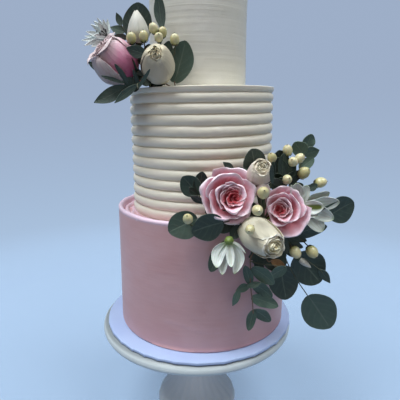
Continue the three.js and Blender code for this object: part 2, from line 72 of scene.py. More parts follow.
def smooth(points, steps):
    """Points along a smooth line that passes through the given ones."""
    known = np.asarray(points, float)
    padded = np.vstack([2 * known[0] - known[1], known, 2 * known[-1] - known[-2]])
    share = (np.arange(steps) / steps)[:, None]
    a, b, c, d = (padded[k : len(padded) - 3 + k][:, None] for k in range(4))
    line = b + 0.5 * share * (c - a + share * (2 * a - 5 * b + 4 * c - d + share * (3 * (b - c) + d - a)))
    return np.vstack([line.reshape(-1, known.shape[1]), known[-1:]])


def along_line(points, share):
    """The coordinates at a share of the way along a smooth line, one array for each."""
    line = smooth(points, 8)
    length = np.concatenate([[0], np.cumsum(np.linalg.norm(np.diff(line, axis=0), axis=1))])
    return [np.interp(share * length[-1], length, line[:, axis]) for axis in range(line.shape[1])]


def offset(x, z, steps):
    """Points of a profile, given by their distances from one corner."""
    return [(x + right, z + up) for right, up in steps]


def unit(vector):
    vector = np.asarray(vector, float)
    return vector / np.maximum(np.linalg.norm(vector, axis=-1, keepdims=True), 1e-9)


def uneven(seed, size):
    """A smooth uneven field over points, about -1 to 1, whose bumps have the given size."""
    random, count = np.random.default_rng(seed), 20
    waves = random.normal(size=(count, 3)) * 2.2 / size
    starts = random.uniform(0, CIRCLE, count)
    return lambda points: np.sin(np.asarray(points) @ waves.T + starts).sum(-1) * math.sqrt(1.2 / count)


def step_between(low, high, value):
    share = np.clip((value - low) / (high - low), 0, 1)
    return share * share * (3 - 2 * share)


def around(angle, radius, height):
    """Points at an angle, a radius and a height about the Z axis."""
    return np.stack([radius * np.cos(angle), radius * np.sin(angle), height], -1)


def shell(first, rings, last):
    """A closed body from a first point, rings that run anticlockwise about the way ahead, and a last point."""
    count, across = rings.shape[:2]
    points = np.vstack([[first], rings.reshape(-1, 3), [last]])
    index = 1 + np.arange(count * across).reshape(count, across)
    after = np.roll(index, -1, 1)
    sides = np.stack([index[:-1], after[:-1], after[1:], index[1:]], -1).reshape(-1, 4)
    start = np.stack([np.zeros(across, int), after[0], index[0]], -1)
    finish = np.stack([index[-1], after[-1], np.full(across, len(points) - 1)], -1)
    return points, [sides, start, finish]


def turned(profile, segments, shape=None):
    """A body turned about Z from (radius, height) points. shape(angle, radius, height) may move each point."""
    line = np.asarray(profile, float)
    angle = np.tile(np.arange(segments) * CIRCLE / segments, (len(line) - 2, 1))
    radius, height = (np.repeat(line[1:-1, axis, None], segments, 1) for axis in range(2))
    if shape:
        radius, height = shape(angle, radius, height)
    return shell([0, 0, line[0, 1]], around(angle, radius, height), [0, 0, line[-1, 1]])


def centred(made, node):
    """Moves a body made round the Z axis to stand where the frame's node stands."""
    low, high = box_mm(node)
    middle = (low + high) / 2
    return made[0] + [middle[0], middle[1], low[2]], made[1]


def thin(grid, thickness):
    """A closed thin body from a grid of points: its face, its back and the rim between."""
    across, along = np.gradient(grid, axis=(0, 1))
    back = grid - unit(np.cross(across, along)) * thickness
    count = grid.shape[0] * grid.shape[1]
    index = np.arange(count).reshape(grid.shape[:2])
    face = np.stack([index[:-1, :-1], index[1:, :-1], index[1:, 1:], index[:-1, 1:]], -1).reshape(-1, 4)
    loop = np.concatenate([index[:-1, 0], index[-1, :-1], index[:0:-1, -1], index[0, :0:-1]])
    after = np.roll(loop, -1)
    rim = np.stack([after, loop, loop + count, after + count], -1)
    return np.vstack([grid.reshape(-1, 3), back.reshape(-1, 3)]), [face, face[:, ::-1] + count, rim]


def tube(path, radius, sides=7, steps=5):
    """A round stem along a smooth line through the points. radius is one number, or one at each end."""
    line = smooth(path, steps)
    ahead = unit(np.gradient(line, axis=0))
    side = unit(np.cross([0.31, 0.83, 0.46], ahead))
    ends = np.broadcast_to(radius, 2)
    wide = np.linspace(ends[0], ends[1], len(line))[:, None, None]
    angle = np.arange(sides)[None, :, None] * CIRCLE / sides
    rings = line[:, None] + wide * (np.cos(angle) * side[:, None] + np.sin(angle) * np.cross(ahead, side)[:, None])
    return shell(line[0], rings, line[-1])


def bearings(seat, tip):
    """Three directions of something that grows from seat to tip: to its right, upwards, and along it."""
    along = unit(np.subtract(tip, seat))
    right = unit(np.cross([0, 0, 1.0] if abs(along[2]) < 0.96 else [0, 1.0, 0], along))
    return np.array([right, np.cross(along, right), along])


def aimed(made, seat, tip):
    """Turns a body that was made along +Z so that it grows from a seat towards a tip."""
    return np.asarray(seat, float) + made[0] @ bearings(seat, tip), made[1]


def new_mesh(name, points, faces, look):
    mesh = bpy.data.meshes.new(name)
    mesh.from_pydata(points * MM, [], [face for part in faces for face in part.tolist()])
    mesh.materials.append(look)
    return mesh


def new_object(name, data):
    made = bpy.data.objects.new(name, data)
    bpy.context.scene.collection.objects.link(made)
    return made


class Body:
    """Closed shells gathered into one mesh, with named values at their points."""

    def __init__(self):
        self.points, self.faces, self.values, self.count = [], [], [], 0

    def add(self, made, **values):
        """Adds a shell. A value is one number, one for each point, or one for each point of a thin body's face."""
        points, faces = made
        self.points.append(points)
        self.faces += [part + self.count for part in faces]
        self.values.append((len(points), values))
        self.count += len(points)

    def value(self, name):
        parts = [(size, np.ravel(values.get(name, 0.0))) for size, values in self.values]
        return np.concatenate([np.tile(part, size // len(part)) for size, part in parts]).astype(np.float32)

    def piece(self, name, look, slot, nodes=(), sharp=60):
        """Makes the object, which rides on the cake and stands for the frame's nodes."""
        mesh = new_mesh(name, np.vstack(self.points), self.faces, look)
        for key in sorted({key for _, values in self.values for key in values}):
            mesh.attributes.new(key, "FLOAT", "POINT").data.foreach_set("value", self.value(key))
        mesh.shade_smooth()
        mesh.set_sharp_from_angle(angle=math.radians(sharp))
        piece = new_object(name, mesh)
        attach(piece, ROOT)
        if nodes:
            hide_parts(*nodes)


# ---------------------------------------------------------------- materials


def arithmetic(operation, swapped=False):
    """An operator of Value, which adds a Math node."""

    def act(*parts):
        return parts[0].nodes.node("Math", dict(enumerate(parts[::-1] if swapped else parts)), operation=operation)

    return act


class Value:
    """One socket in a node tree, which Python's own operators act on."""

    def __init__(self, nodes, socket):
        self.nodes, self.socket = nodes, socket

    __add__ = __radd__ = arithmetic("ADD")
    __mul__ = __rmul__ = arithmetic("MULTIPLY")
    __sub__, __rsub__ = arithmetic("SUBTRACT"), arithmetic("SUBTRACT", swapped=True)
    __truediv__, __rtruediv__ = arithmetic("DIVIDE"), arithmetic("DIVIDE", swapped=True)
    __pow__, __rpow__ = arithmetic("POWER"), arithmetic("POWER", swapped=True)
    __abs__ = arithmetic("ABSOLUTE")
    sine, smaller = arithmetic("SINE"), arithmetic("MINIMUM")

    def lines(self, power):
        """Lines that repeat as the value grows. A higher power makes them narrower."""
        return (self.sine() * 0.5 + 0.5) ** power

    def step(self, low, high):
        """0 below low and 1 above high, or the other way round where low is the larger."""
        sockets = {0: self, 1: low, 2: high, 3: 0.0, 4: 1.0}
        return self.nodes.node("MapRange", sockets, interpolation_type="SMOOTHSTEP")


class Nodes:
    """A node tree under construction."""

    def __init__(self, tree):
        self.tree = tree

    def node(self, kind, sockets=None, out=0, **settings):
        made = self.tree.nodes.new("ShaderNode" + kind)
        for key, value in settings.items():
            setattr(made, key, value)
        for key, value in (sockets or {}).items():
            self.feed(made.inputs[key], value)
        return Value(self, made.outputs[out])

    def feed(self, socket, value):
        if isinstance(value, Value):
            self.tree.links.new(value.socket, socket)
        elif hasattr(value, "__len__") and len(socket.default_value) == 4:
            socket.default_value = (*value, 1.0)[:4]
        else:
            socket.default_value = value

    def mix(self, factor, one, other):
        return self.node("Mix", {0: factor, 6: one, 7: other}, 2, data_type="RGBA")


class Shade(Nodes):
    """A material under construction. Uniform numbers are set on the shader's own sockets."""

    def __init__(self, name, soft=(), **uniform):
        self.material = bpy.data.materials.new(name)
        self.material.use_nodes = True
        super().__init__(self.material.node_tree)
        self.surface = self.tree.nodes["Principled BSDF"]
        self.done(**dict(zip(("subsurface_weight", "subsurface_scale", "subsurface_radius"), soft)), **uniform)

    def values(self, *names):
        return [self.node("Attribute", out=2, attribute_name=name) for name in names]

    def place(self, stretch=(1, 1, 1)):
        return self.node("VectorMath", {0: self.node("TexCoord", out=3), 1: stretch}, operation="MULTIPLY")

    def height(self):
        return self.node("SeparateXYZ", {0: self.place()}, 2)

    def noise(self, scale, detail, stretch=(1, 1, 1)):
        """Uneven from 0 to 1. scale is in bumps to a metre."""
        return self.node("TexNoise", {"Vector": self.place(stretch), "Scale": scale, "Detail": detail})

    def done(self, **sockets):
        for key, value in sockets.items():
            self.feed(self.surface.inputs[key.replace("_", " ").title()], value)
        return self.material

    def coated(self, base, layers, roughness, relief, strength, depth):
        """The material: a base colour, (share, colour) layers laid over it in order, and a relief."""
        for share, tint in layers:
            base = self.mix(share, base, tint)
        normal = self.node("Bump", {"Height": relief, "Strength": strength, "Distance": depth})
        return self.done(base_color=base, roughness=roughness, normal=normal)


def tinted(colour, *factors):
    """A colour with its red, green and blue multiplied by one factor, or by one each."""
    return [part * factor for part, factor in zip(colour, factors * 3)]


def glaze_look(glaze):
    shade = Shade("stand_glaze", coat_weight=0.12, coat_roughness=0.12)
    mottle, throwing = shade.noise(45, 3), shade.noise(30, 2, (0.3, 0.3, 14))
    layers = (
        (mottle.step(0.3, 0.75), tinted(glaze, 0.93)),
        # Painted shade: the plate's upper rim, under the board's edge, is painted darker.
        (shade.height().step(0.1365, 0.1392), tinted(glaze, 0.45)),
        # Painted light: the foot below the plate is painted paler, to lift it out of the plate's shadow.
        (shade.height().step(0.131, 0.118), (0.80, 0.84, 0.86)),
    )
    return shade.coated(glaze, layers, 0.36 + mottle * 0.14, mottle * 0.6 + throwing * 0.6, 0.18, 0.0012)


def board_look(wrap):
    shade = Shade("board_wrap")
    grain, cloud = shade.noise(900, 3), shade.noise(28, 2)
    layers = [(cloud.step(0.35, 0.7), tinted(wrap, 0.95, 0.95, 0.99))]
    return shade.coated(wrap, layers, 0.34 + grain * 0.16, grain + cloud * 2, 0.25, 0.0004)


def pink_icing_look(colours):
    """Smoothed by a scraper: soft cloudy patches, faint level strokes, a warmer foot, and a paler lip with two small
    painted highlights.
    """
    shade, pink = Shade("pink_icing", (0.05, 0.004, (1, 0.5, 0.4))), colours.pink_icing
    cloud, strokes, fine = shade.noise(17, 3, (1, 1, 1.6)), shade.noise(55, 4, (0.5, 0.5, 5)), shade.noise(420, 3)
    pale, deep, pit = shade.values("pale", "deep", "pit")
    layers = (
        (cloud.step(0.32, 0.68), tinted(pink, 1.05, 1.13, 1.15)),
        (strokes.step(0.45, 0.8) * 0.35, tinted(pink, 1.0, 0.93, 0.93)),
        (pale, colours.lip_icing),
        (deep, colours.salmon),
        (pit, (0.50, 0.115, 0.055)),
    )
    return shade.coated(pink, layers, 0.40 + fine * 0.16, strokes * 0.8 + fine * 0.35 + cloud, 0.32, 0.0009)


def ivory_icing_look(name, ivory, lines):
    """Ivory frosting. lines is how strongly the scraper's level lines show."""
    shade = Shade(name, (0.05, 0.004, (1, 0.75, 0.5)))
    cloud, strokes, fine = shade.noise(20, 3), shade.noise(42, 5, (0.22, 0.22, 11)), shade.noise(520, 3)
    layers = (
        (cloud.step(0.3, 0.75), tinted(ivory, 1.03, 1.03, 1.06)),
        (strokes.step(0.5, 0.85) * lines * 0.5, tinted(ivory, 0.94, 0.93, 0.9)),
        # Painted shade in the middle tier's grooves.
        (shade.values("groove")[0] * 0.55, tinted(ivory, 0.93, 0.87, 0.80)),
    )
    return shade.coated(ivory, layers, 0.38 + fine * 0.15, strokes * lines + fine * 0.22 + cloud * 0.6, 0.3, 0.0009)


def petal_look(
    name, inner, middle, rim, foot=None, rims=(0.7, 1.02), vein=0.5, deep=(0.75, 0.15), fray=0.22, guard=None
):
    """Petals that change colour from the flower's heart outwards, darkened at their foot with painted shade and paler
    at their rim, with fine veins.

    rims and deep are where on a petal the rim's colour and the foot's painted shade start and end, and fray is how
    unevenly the rim's starts. guard is the colour of the guard petal, where that differs.
    """
    shade = Shade(name, (0.05, 0.002, (1, 0.6, 0.5)))
    along, across, layer = shade.values("along", "across", "layer")
    cloud = shade.noise(130, 3)
    fan = (across * (46.0 / (0.35 + along)) * 0.9 + cloud * 7).lines(3.0)
    layers = [
        ((layer * 1.6 + cloud * 0.5 - 0.75).step(0.05, 0.85), middle),
        # Painted shade: the foot colour darkens each petal towards its foot, most on the inner petals.
        ((along + (cloud - 0.5) * 0.3).step(*deep) * (1.0 - layer * 0.35), foot or inner),
    ]
    if guard:
        layers.append((shade.values("guard")[0] * (0.55 + cloud * 0.6).smaller(0.95), guard))
    pale = (along + (cloud - 0.5) * fray + (layer - 1.0) * 0.09).step(*rims) * (0.65 + layer * 0.35)
    layers += [(pale, rim), (fan * vein * 0.3, tinted(middle, 0.92, 0.7, 0.72))]
    return shade.coated(inner, layers, 0.46 + cloud * 0.18, fan * 0.5 + cloud * 0.8, 0.35, 0.0005)


def leaf_look(name, dark, light, rib):
    """Matt leaves with a bloom, a paler midrib and side veins. tone varies from leaf to leaf, and a low tone also
    stands for painted shade on leaves in the flowers' shadow.
    """
    shade = Shade(name, (0.03, 0.002))
    along, across, tone = shade.values("along", "across", "tone")
    bloom, fine, side = shade.noise(95, 4), shade.noise(700, 2), abs(across)
    veins = (along * 30.0 - side * 11.0 + bloom * 2.5).lines(7.0)
    midrib = side.step(0.075, 0.02) * along.step(1.0, 0.9)
    layers = (
        ((bloom * 0.75 + tone * 0.6 - 0.1).step(0.15, 0.95), light),
        (veins * 0.07 * side.step(1.0, 0.7), rib),
        (midrib * 0.26, rib),
        (side.step(0.93, 1.0) * 0.2, rib),
    )
    relief = veins * 0.35 - midrib * 0.8 + fine * 0.3 + bloom
    return shade.coated(dark, layers, 0.48 + bloom * 0.2, relief, 0.4, 0.0006)


def berry_look():
    shade = Shade("berry_skin", (0.1, 0.002), coat_weight=0.25, coat_roughness=0.2)
    along, tone = shade.values("along", "tone")
    cloud = shade.noise(260, 3)
    layers = (
        ((cloud * 0.6 + tone * 0.7 - 0.15).step(0.1, 0.9), (0.72, 0.67, 0.42)),
        ((along + cloud * 0.25).step(0.62, 0.1), (0.27, 0.30, 0.08)),
        (along.step(0.985, 1.0), (0.055, 0.035, 0.02)),
    )
    return shade.coated((0.50, 0.46, 0.22), layers, 0.28 + cloud * 0.16, cloud, 0.2, 0.0006)


def stalk_look():
    shade = Shade("stalks")
    bark = shade.noise(300, 3, (1, 1, 0.3))
    layers = [((bark * 0.5 + shade.values("tone")[0]).step(0.2, 1.2), (0.15, 0.085, 0.05))]
    return shade.coated((0.030, 0.052, 0.022), layers, 0.5 + bark * 0.2, bark, 0.4, 0.0004)


def lily_look():
    """White petals with a green base and tip, fine green veins that run along them, and painted shade on the petals
    that lie behind.
    """
    shade = Shade("lily_petal", (0.05, 0.002))
    along, across, streak, tone = shade.values("along", "across", "streak", "tone")
    cloud = shade.noise(150, 3)
    veins = (across * 15.0 + cloud * 1.6).lines(5.0)
    ends = along.step(0.34, 0.02) * 0.8 + along.step(0.9, 1.0) * 0.5
    middle = (abs(across) - along * 0.25).step(0.5, 0.05) * along.step(0.02, 0.3) * along.step(0.98, 0.86)
    layers = (
        (cloud.step(0.3, 0.8), (0.64, 0.70, 0.68)),
        # Painted shade: tone darkens the petals that lie behind the others.
        (tone, (0.36, 0.42, 0.37)),
        (veins * 0.34, (0.42, 0.50, 0.30)),
        (ends.smaller(0.85), (0.20, 0.30, 0.06)),
        (middle * streak, (0.09, 0.12, 0.012)),
    )
    return shade.coated((0.74, 0.79, 0.78), layers, 0.45 + cloud * 0.15, veins * 0.6 + cloud * 0.6, 0.4, 0.0006)


def plain_look(name, one, other, scale, roughness):
    """Two close tones in small patches, with a light relief."""
    shade = Shade(name)
    cloud = shade.noise(scale, 3)
    return shade.coated(one, [(cloud.step(0.3, 0.7), other)], roughness + cloud * 0.15, cloud, 0.35, 0.0004)


# ---------------------------------------------------------------- settings


def colour(name, description, default):
    return FloatVectorProperty(name=name, description=description, default=default, subtype="COLOR", min=0, max=1)


def millimetres(name, description, default, low, high):
    return FloatProperty(name=name, description=description, default=default, min=low, max=high, unit="NONE")


class CakeColours(PropertyGroup):
    pink_icing: colour("Pink icing", "Colour of the bottom tier's side", (0.60, 0.355, 0.37))
    lip_icing: colour("Lip icing", "Colour of the bottom tier's raised lip and folds", (0.80, 0.63, 0.77))
    salmon: colour("Salmon tint", "Warmer tint along the bottom tier's foot", (0.80, 0.46, 0.46))
    ivory_icing: colour("Ivory icing", "Colour of the middle and top tiers", (0.86, 0.82, 0.70))
    stand: colour("Stand glaze", "Colour of the stand's plate", (0.58, 0.65, 0.68))
    board: colour("Board wrap", "Colour of the round board", (0.43, 0.545, 0.81))
    # The rose heart colour is the inner petals' deep red, darkened past it as painted shade inside the open roses.
    rose_deep: colour("Rose heart", "Colour of the open roses' inner petals", (0.60, 0.055, 0.075))
    rose_pink: colour("Rose petal", "Colour of the open roses' outer petals", (0.92, 0.71, 0.83))
    rose_rim: colour("Rose rim", "Colour of the petals' pale rims", (0.92, 0.82, 0.88))
    ivory_petal: colour("Ivory petal", "Colour of the ivory rosebuds", (0.68, 0.64, 0.50))
    leaf_dark: colour("Dark leaf", "Darkest leaf colour", (0.014, 0.028, 0.018))
    leaf_light: colour("Light leaf", "Colour of a leaf's bloom", (0.053, 0.089, 0.064))


class CakeSizes(PropertyGroup):
    ridge_depth: millimetres("Ridge depth", "Depth in mm of the grooves round the middle tier", 3.0, 0, 6)
    ridge_count: IntProperty(
        name="Ridges", description="Number of ridges on the middle tier", default=12, min=4, max=24
    )
    unevenness: millimetres("Unevenness", "How far in mm the icing strays from a true circle", 0.55, 0, 3)
    fold_height: millimetres("Fold height", "Height in mm of the folds inside the bottom tier's lip", 2.4, 0, 5)
    petal_thickness: millimetres("Petal thickness", "Thickness of a petal in mm", 0.42, 0.2, 2)
    leaf_thickness: millimetres("Leaf thickness", "Thickness of a leaf in mm", 0.6, 0.2, 2)
    stem_radius: millimetres("Stem radius", "Radius of a leaf stem in mm", 0.75, 0.3, 3)


# ---------------------------------------------------------------- stand, board and tiers

# The stand's foot and neck, from the middle of its underside upwards.
STAND_FOOT = [
    (0, 4), (44, 4), (50, 2), (52, 0.2), (55, 0), (56, 1.2), (56.8, 5), (55.4, 10), (53, 16), (48, 22.5),
    (41, 29), (34, 37), (28, 47), (23, 58), (21, 72), (21.2, 86), (23, 100), (27, 111), (34, 121), (43, 128),
]
# How much each upper tier's level lines rise to the right, in mm for each mm.
TIER_SLOPE = 0.016


class CAKE_OT_stand(Operator):
    """Glazed plate with a lip that turns down, on a bell-shaped foot"""

    bl_idname = "cake.stand"
    bl_label = "Stand"

    def execute(self, context):
        low, high = box_mm("stand")
        plate, top = (high[0] - low[0]) / 2, high[2]
        under, lip = top - 7, top - 11.4
        line = [*STAND_FOOT, (55, under - 1.5), (80, under - 0.4), *offset(plate, under, [(-14, 0), (-9, -1.6)])]
        line += offset(plate, lip, [(-5.5, 0.6), (-3.2, -0.1), (-1.4, 0.5), (-0.3, 2.4), (0, 4.4)])
        line += offset(plate, top, [(-0.9, -3.6), (-3, -1.5), (-6, -0.3), (-10, 0), (-13, -0.5), (-17, -0.6)])

        def flutes(angle, radius, height):
            depth = step_between(62, 30, height) * step_between(2, 10, height)
            return radius + 0.5 * depth * np.cos(24 * angle), height

        body = Body()
        body.add(turned(smooth([*line, (0, top - 0.6)], 4), 288, flutes))
        body.piece("stand_glazed", glaze_look(context.scene.cake_colours.stand), "stand", ["stand"])
        return {"FINISHED"}


class CAKE_OT_board(Operator):
    """Thin round board, wrapped, with small creases where the wrap turns over its edge"""

    bl_idname = "cake.board"
    bl_label = "Board"

    def execute(self, context):
        low, high = box_mm("board")
        radius, thick = (high[0] - low[0]) / 2, high[2] - low[2]
        line = [(0, 0), *offset(radius, 0, [(-6, 0), (-1.0, 0), (-0.4, 0.35), (0, 1.2)])]
        line += offset(radius, thick, [(0, -1.0), (-0.35, -0.3), (-1.2, 0), (-4, 0)])
        line += [(radius - 8 - 4 * ring, thick) for ring in range(5)]
        random = np.random.default_rng(5)
        creases, strengths = random.uniform(0, CIRCLE, 46), random.uniform(0.25, 0.9, 46)

        def wrapped(angle, wide, height):
            near = (np.mod(angle[..., None] - creases + math.pi, CIRCLE) - math.pi) * radius
            dent = (strengths * np.exp(-((near / 1.6) ** 2))).sum(-1)
            edge = step_between(radius - 9, radius - 1, wide)
            place = angle * 15 / math.pi + 0.6 * np.sin(3 * angle)
            facet = np.floor(place)
            share = place - facet - 0.5
            facets = edge * (np.sin(facet * 12.9898) * share * 0.9 + 2.8 * share**2 - 0.7)
            return wide - edge * dent * 0.55 + facets - 0.1, height - dent * edge * 0.25 * (height > thick / 2)

        body = Body()
        body.add(centred(turned([*line, (0, thick)], 900, wrapped), "board"))
        body.piece("board_wrapped", board_look(context.scene.cake_colours.board), "board", ["board"], sharp=40)
        return {"FINISHED"}


class CAKE_OT_bottom_tier(Operator):
    """Smooth pink tier with a raised lip, and soft folds of icing between the lip and the tier above"""

    bl_idname = "cake.bottom_tier"
    bl_label = "Bottom tier"

    def execute(self, context):
        sizes = context.scene.cake_sizes
        low, high = box_mm("bottom_tier")
        radius, top, bed = (high[0] - low[0]) / 2, 157.2, box_mm("middle_tier")[0][2] - low[2]
        inner = radius - 7.5
        line = [(0, 0), (radius - 1.2, 0), (radius - 0.3, 0.8)]
        line += [(radius, z) for z in np.arange(3, top - 4, 2.0)]
        line += offset(radius, top, [(0.3, -3.2), (-0.1, -1.3), (-1.3, -0.25)])
        line += offset(radius, top, [(-3.0, 0), (-4.7, -0.5), (-6.0, -2.0)])
        line += [(radius - 6.7, top - 4.4), (inner + 0.4, bed + 1)]
        line += [(inner - step, bed + 0.2) for step in np.arange(0.3, 15.5, 0.62)]
        line += [(radius - 26, bed - 0.4), (0, bed - 0.4)]
        broad, close, small = uneven(11, 75), uneven(12, 11), uneven(13, 5.5)

        def iced(angle, wide, height):
            spot = around(angle, wide, height)
            wall = (wide > radius - 2.5) & (height > 1)
            wide_now = wide + wall * (sizes.unevenness * broad(spot) + 0.06 * close(spot))
            on_lip = step_between(bed + 2, top - 2, height) * (wide > inner)
            height_now = height + on_lip * (0.45 * broad(spot * 1.7) + 0.18 * close(spot))
            out = (inner - wide).clip(0, 15.5)
            inside = (wide <= inner) & (height > bed - 0.3)
            roll = np.exp(-(((out - 5.2 - 1.3 * np.sin(3 * angle + 0.6)) / 2.7) ** 2))
            swirl = np.sin(7 * angle + out * 0.8 + 1.3 * broad(spot * 3)) * step_between(0.5, 3, out)
            folds = sizes.fold_height * (1.15 * roll + 0.35 * swirl * (1 - roll))
            folds = folds + 0.42 * close(spot) + 0.22 * small(spot)
            return wide_now, height_now + inside * step_between(15.2, 12.5, out) * (folds - 0.8)

        made = turned(line, 540, iced)
        x, y, _ = made[0].T
        turn, wide = np.arctan2(y, x), np.hypot(x, y)
        points, faces = centred(made, "bottom_tier")
        height = points[:, 2] - low[2]

        def dimple(centre, size, depth, way):
            """Presses the icing in at a place, or out where depth is negative, and tells how near each point is."""
            far = np.linalg.norm(points - centre, axis=1) / size
            points[:] += np.exp(-(far**2))[:, None] * depth * np.asarray(way, float)
            return np.exp(-((far / 0.95) ** 2))

        pit = dimple([-88.3, -6.5, low[2] + bed + 1.5], 2.6, 3.2, (0.25, 0.1, -1))
        crease = dimple([-81.5, 13.5, low[2] + bed + 1.0], 3.2, 2.0, (0, 0, -1))
        dimple([9.1, -109.0, 194.4], 1.6, 0.8, (0, 1, 0))
        smears_and_glints = 0
        for step in np.linspace(0, 1, 40):
            x = -37 + 64 * step
            for rise in (0, 5.5 * step):
                height_here = 180.5 - 6 * step + 1.6 * math.sin(7 * step) - rise
                spot = [x, 3 - math.sqrt(radius**2 - (x - 8) ** 2), height_here]
                smears_and_glints = np.maximum(smears_and_glints, dimple(spot, 1.5, -0.12, (0, 1, 0)))
        # Two small pale spots on the lip are painted highlights, glints raised a little out of the icing.
        for spot in ([-68.8, -78.8, 297.3], [-36.4, -100.1, 299.0]):
            smears_and_glints = np.maximum(smears_and_glints, 3 * dimple(spot, 1.3, -0.15, (0, 1, 0)))
        on_top = step_between(top - 6.5, top - 2.2, height) * (wide > inner - 1)
        inside = (height > bed - 0.5) & (wide < inner + 0.6)
        pale = np.clip(0.95 * on_top + 0.55 * inside + 0.16 * smears_and_glints, 0, 1)
        foot = 0.55 * step_between(7, 1.5, height + 1.6 * np.sin(5 * turn)) + 0.25 * crease
        body = Body()
        body.add((points, faces), pale=pale, deep=foot, pit=0.9 * pit)
        look = pink_icing_look(context.scene.cake_colours)
        body.piece("bottom_tier_icing", look, "pink_frosting", ["bottom_tier"])
        return {"FINISHED"}


class CAKE_OT_middle_tier(Operator):
    """Ivory tier with rounded level ridges between narrow grooves, under a plain band with a sharp edge"""

    bl_idname = "cake.middle_tier"
    bl_label = "Middle tier"

    def execute(self, context):
        sizes = context.scene.cake_sizes
        radius, top, band, first = 90.0, 152.0, 5.7, 1.3
        pitch = (top - band - first) / sizes.ridge_count
        shares = np.linspace(0, 1, 15)[:-1]
        line = [(0, 0), (radius - 3, 0)]
        line += [(radius, first + pitch * (ridge + share)) for ridge in range(sizes.ridge_count) for share in shares]
        line += offset(radius, top - band, [(-1.4, 0), (-0.7, 0.5), (-0.1, 1.3)])
        line += offset(radius, top, [(0.1, -3), (0.35, -1.4), (0.55, -0.45), (0.1, 0), (-0.9, -0.1), (-3, -0.35)])
        line += [(radius - 9, top - 0.3), (radius - 20, top), (0, top)]
        broad, close, lengthwise = uneven(21, 60), uneven(22, 9), uneven(23, 40)

        def ridged(angle, wide, height):
            spot = around(angle, wide, height)
            body = (height > first - 0.1) & (height < top - band - 0.01)
            level = (height - first) / pitch
            share = np.mod(level, 1)
            bulge = (1 - np.abs(2 * share - 1) ** 2.3).clip(0, 1) ** 0.85
            ring = np.floor(level)
            sway = np.sin(angle * (2 + ring % 3) + ring * 2.1) * 0.28
            inset = sizes.ridge_depth * (1 - bulge) * (1 + 0.12 * np.sin(ring * 4.7))
            wide_now = wide - body * inset + 0.35 * broad(spot) + body * 0.1 * close(spot) * bulge
            rise = body * (sway + 0.3 * lengthwise(spot)) * step_between(0, 6, height)
            foot = step_between(13, 0, height)
            wide_now = wide_now - foot * (0.7 + 0.9 * np.sin(3 * angle + 0.9) + 0.35 * close(spot * 0.5))
            return wide_now, height + rise + np.minimum(1, height / 24) * TIER_SLOPE * wide * np.cos(angle)

        points, faces = turned(line, 420, ridged)
        wide = np.hypot(points[:, 0], points[:, 1])
        # Painted shade: this mask paints the grooves darker and warmer, where the ridges shade them.
        groove = step_between(radius - 0.9, radius - sizes.ridge_depth, wide) * (wide > radius - 7)
        body = Body()
        body.add((points + [7.0, 0.0, box_mm("middle_tier")[0][2]], faces), groove=groove)
        look = ivory_icing_look("ridged_ivory_icing", context.scene.cake_colours.ivory_icing, 0.25)
        body.piece("middle_tier_icing", look, "ivory_frosting", ["middle_tier"])
        return {"FINISHED"}


class CAKE_OT_top_tier(Operator):
    """Ivory tier scraped smooth, with faint level lines and a crisp top edge"""

    bl_idname = "cake.top_tier"
    bl_label = "Top tier"

    def execute(self, context):
        radius, top = 59.0, 148.0
        line = [(0, 0), (radius - 1, 0), (radius - 0.3, 0.7)]
        line += [(radius, z) for z in np.arange(2, top - 1.5, 1.5)]
        line += offset(radius, top, [(0.15, -0.9), (-0.25, -0.15), (-1.2, 0)])
        line += [(wide, top - 0.2) for wide in np.arange(radius - 4, 3, -3.0)]
        broad, close, lines = uneven(31, 50), uneven(32, 8), uneven(33, 4)

        def scraped(angle, wide, height):
            spot = around(angle, wide, height)
            level = np.stack([spot[..., 0] * 0.06, spot[..., 1] * 0.06, height], -1)
            wall = wide > radius - 2
            wide_now = wide + wall * (0.3 * broad(spot) + 0.07 * lines(level) + 0.04 * close(spot))
            tilt = np.maximum(0, 1 - height / 40) * TIER_SLOPE * wide * np.cos(angle)
            swirl = (~wall) * 0.22 * np.sin(wide * 0.55 + angle) * (height > 1)
            return wide_now, height + tilt + swirl

        points, faces = turned([*line, (0, top - 0.2)], 320, scraped)
        body = Body()
        body.add((points + [2.7, 0.0, box_mm("top_tier")[1][2] - top], faces))
        ivory = tinted(context.scene.cake_colours.ivory_icing, 0.83, 0.86, 0.91)
        look = ivory_icing_look("scraped_ivory_icing", ivory, 1.0)
        body.piece("top_tier_icing", look, "ivory_frosting", ["top_tier"])
        return {"FINISHED"}


# ---------------------------------------------------------------- roses and buds

# The hearts of the two sprays, where their stems gather, and the height that parts the sprays.
RIGHT_HEART = np.array([74, -98, 302.0])
TOP_HEART = np.array([-56, -62, 462.0])
BETWEEN_SPRAYS = 400
VIEWER = np.array([0, -1, 0.15])

HEADS = {
    # name: seat, tip, radius of the calyx, how far up the flower its sepals reach
    "rose_left": ((31, -94, 329), (36, -127, 336), 24, 0.3),
    "rose_right": ((100, -84, 311), (92, -116, 320), 18, 0.3),
    "rose_ivory": ((48, -111, 303), (90, -119, 276), 17, 0.22),
    "rose_blush": ((67, -98, 343), (69, -105, 371), 13.8, 0.34),
    "rose_top_pink": ((-71, -60, 456), (-104, -70, 489), 24, 0.6),
    "rose_top_white": ((-40, -66, 449), (-40, -80, 497), 17.5, 0.24),
    "bud_top_white": ((-62, -60, 491), (-63.5, -61, 525), 11.5, 0.3),
    "bud_blush_low": ((72, -106, 332), (69, -113, 348), 8, 0.6),
    "bud_slender": ((117, -95, 256), (130, -99, 247), 3.4, 0.7),
}

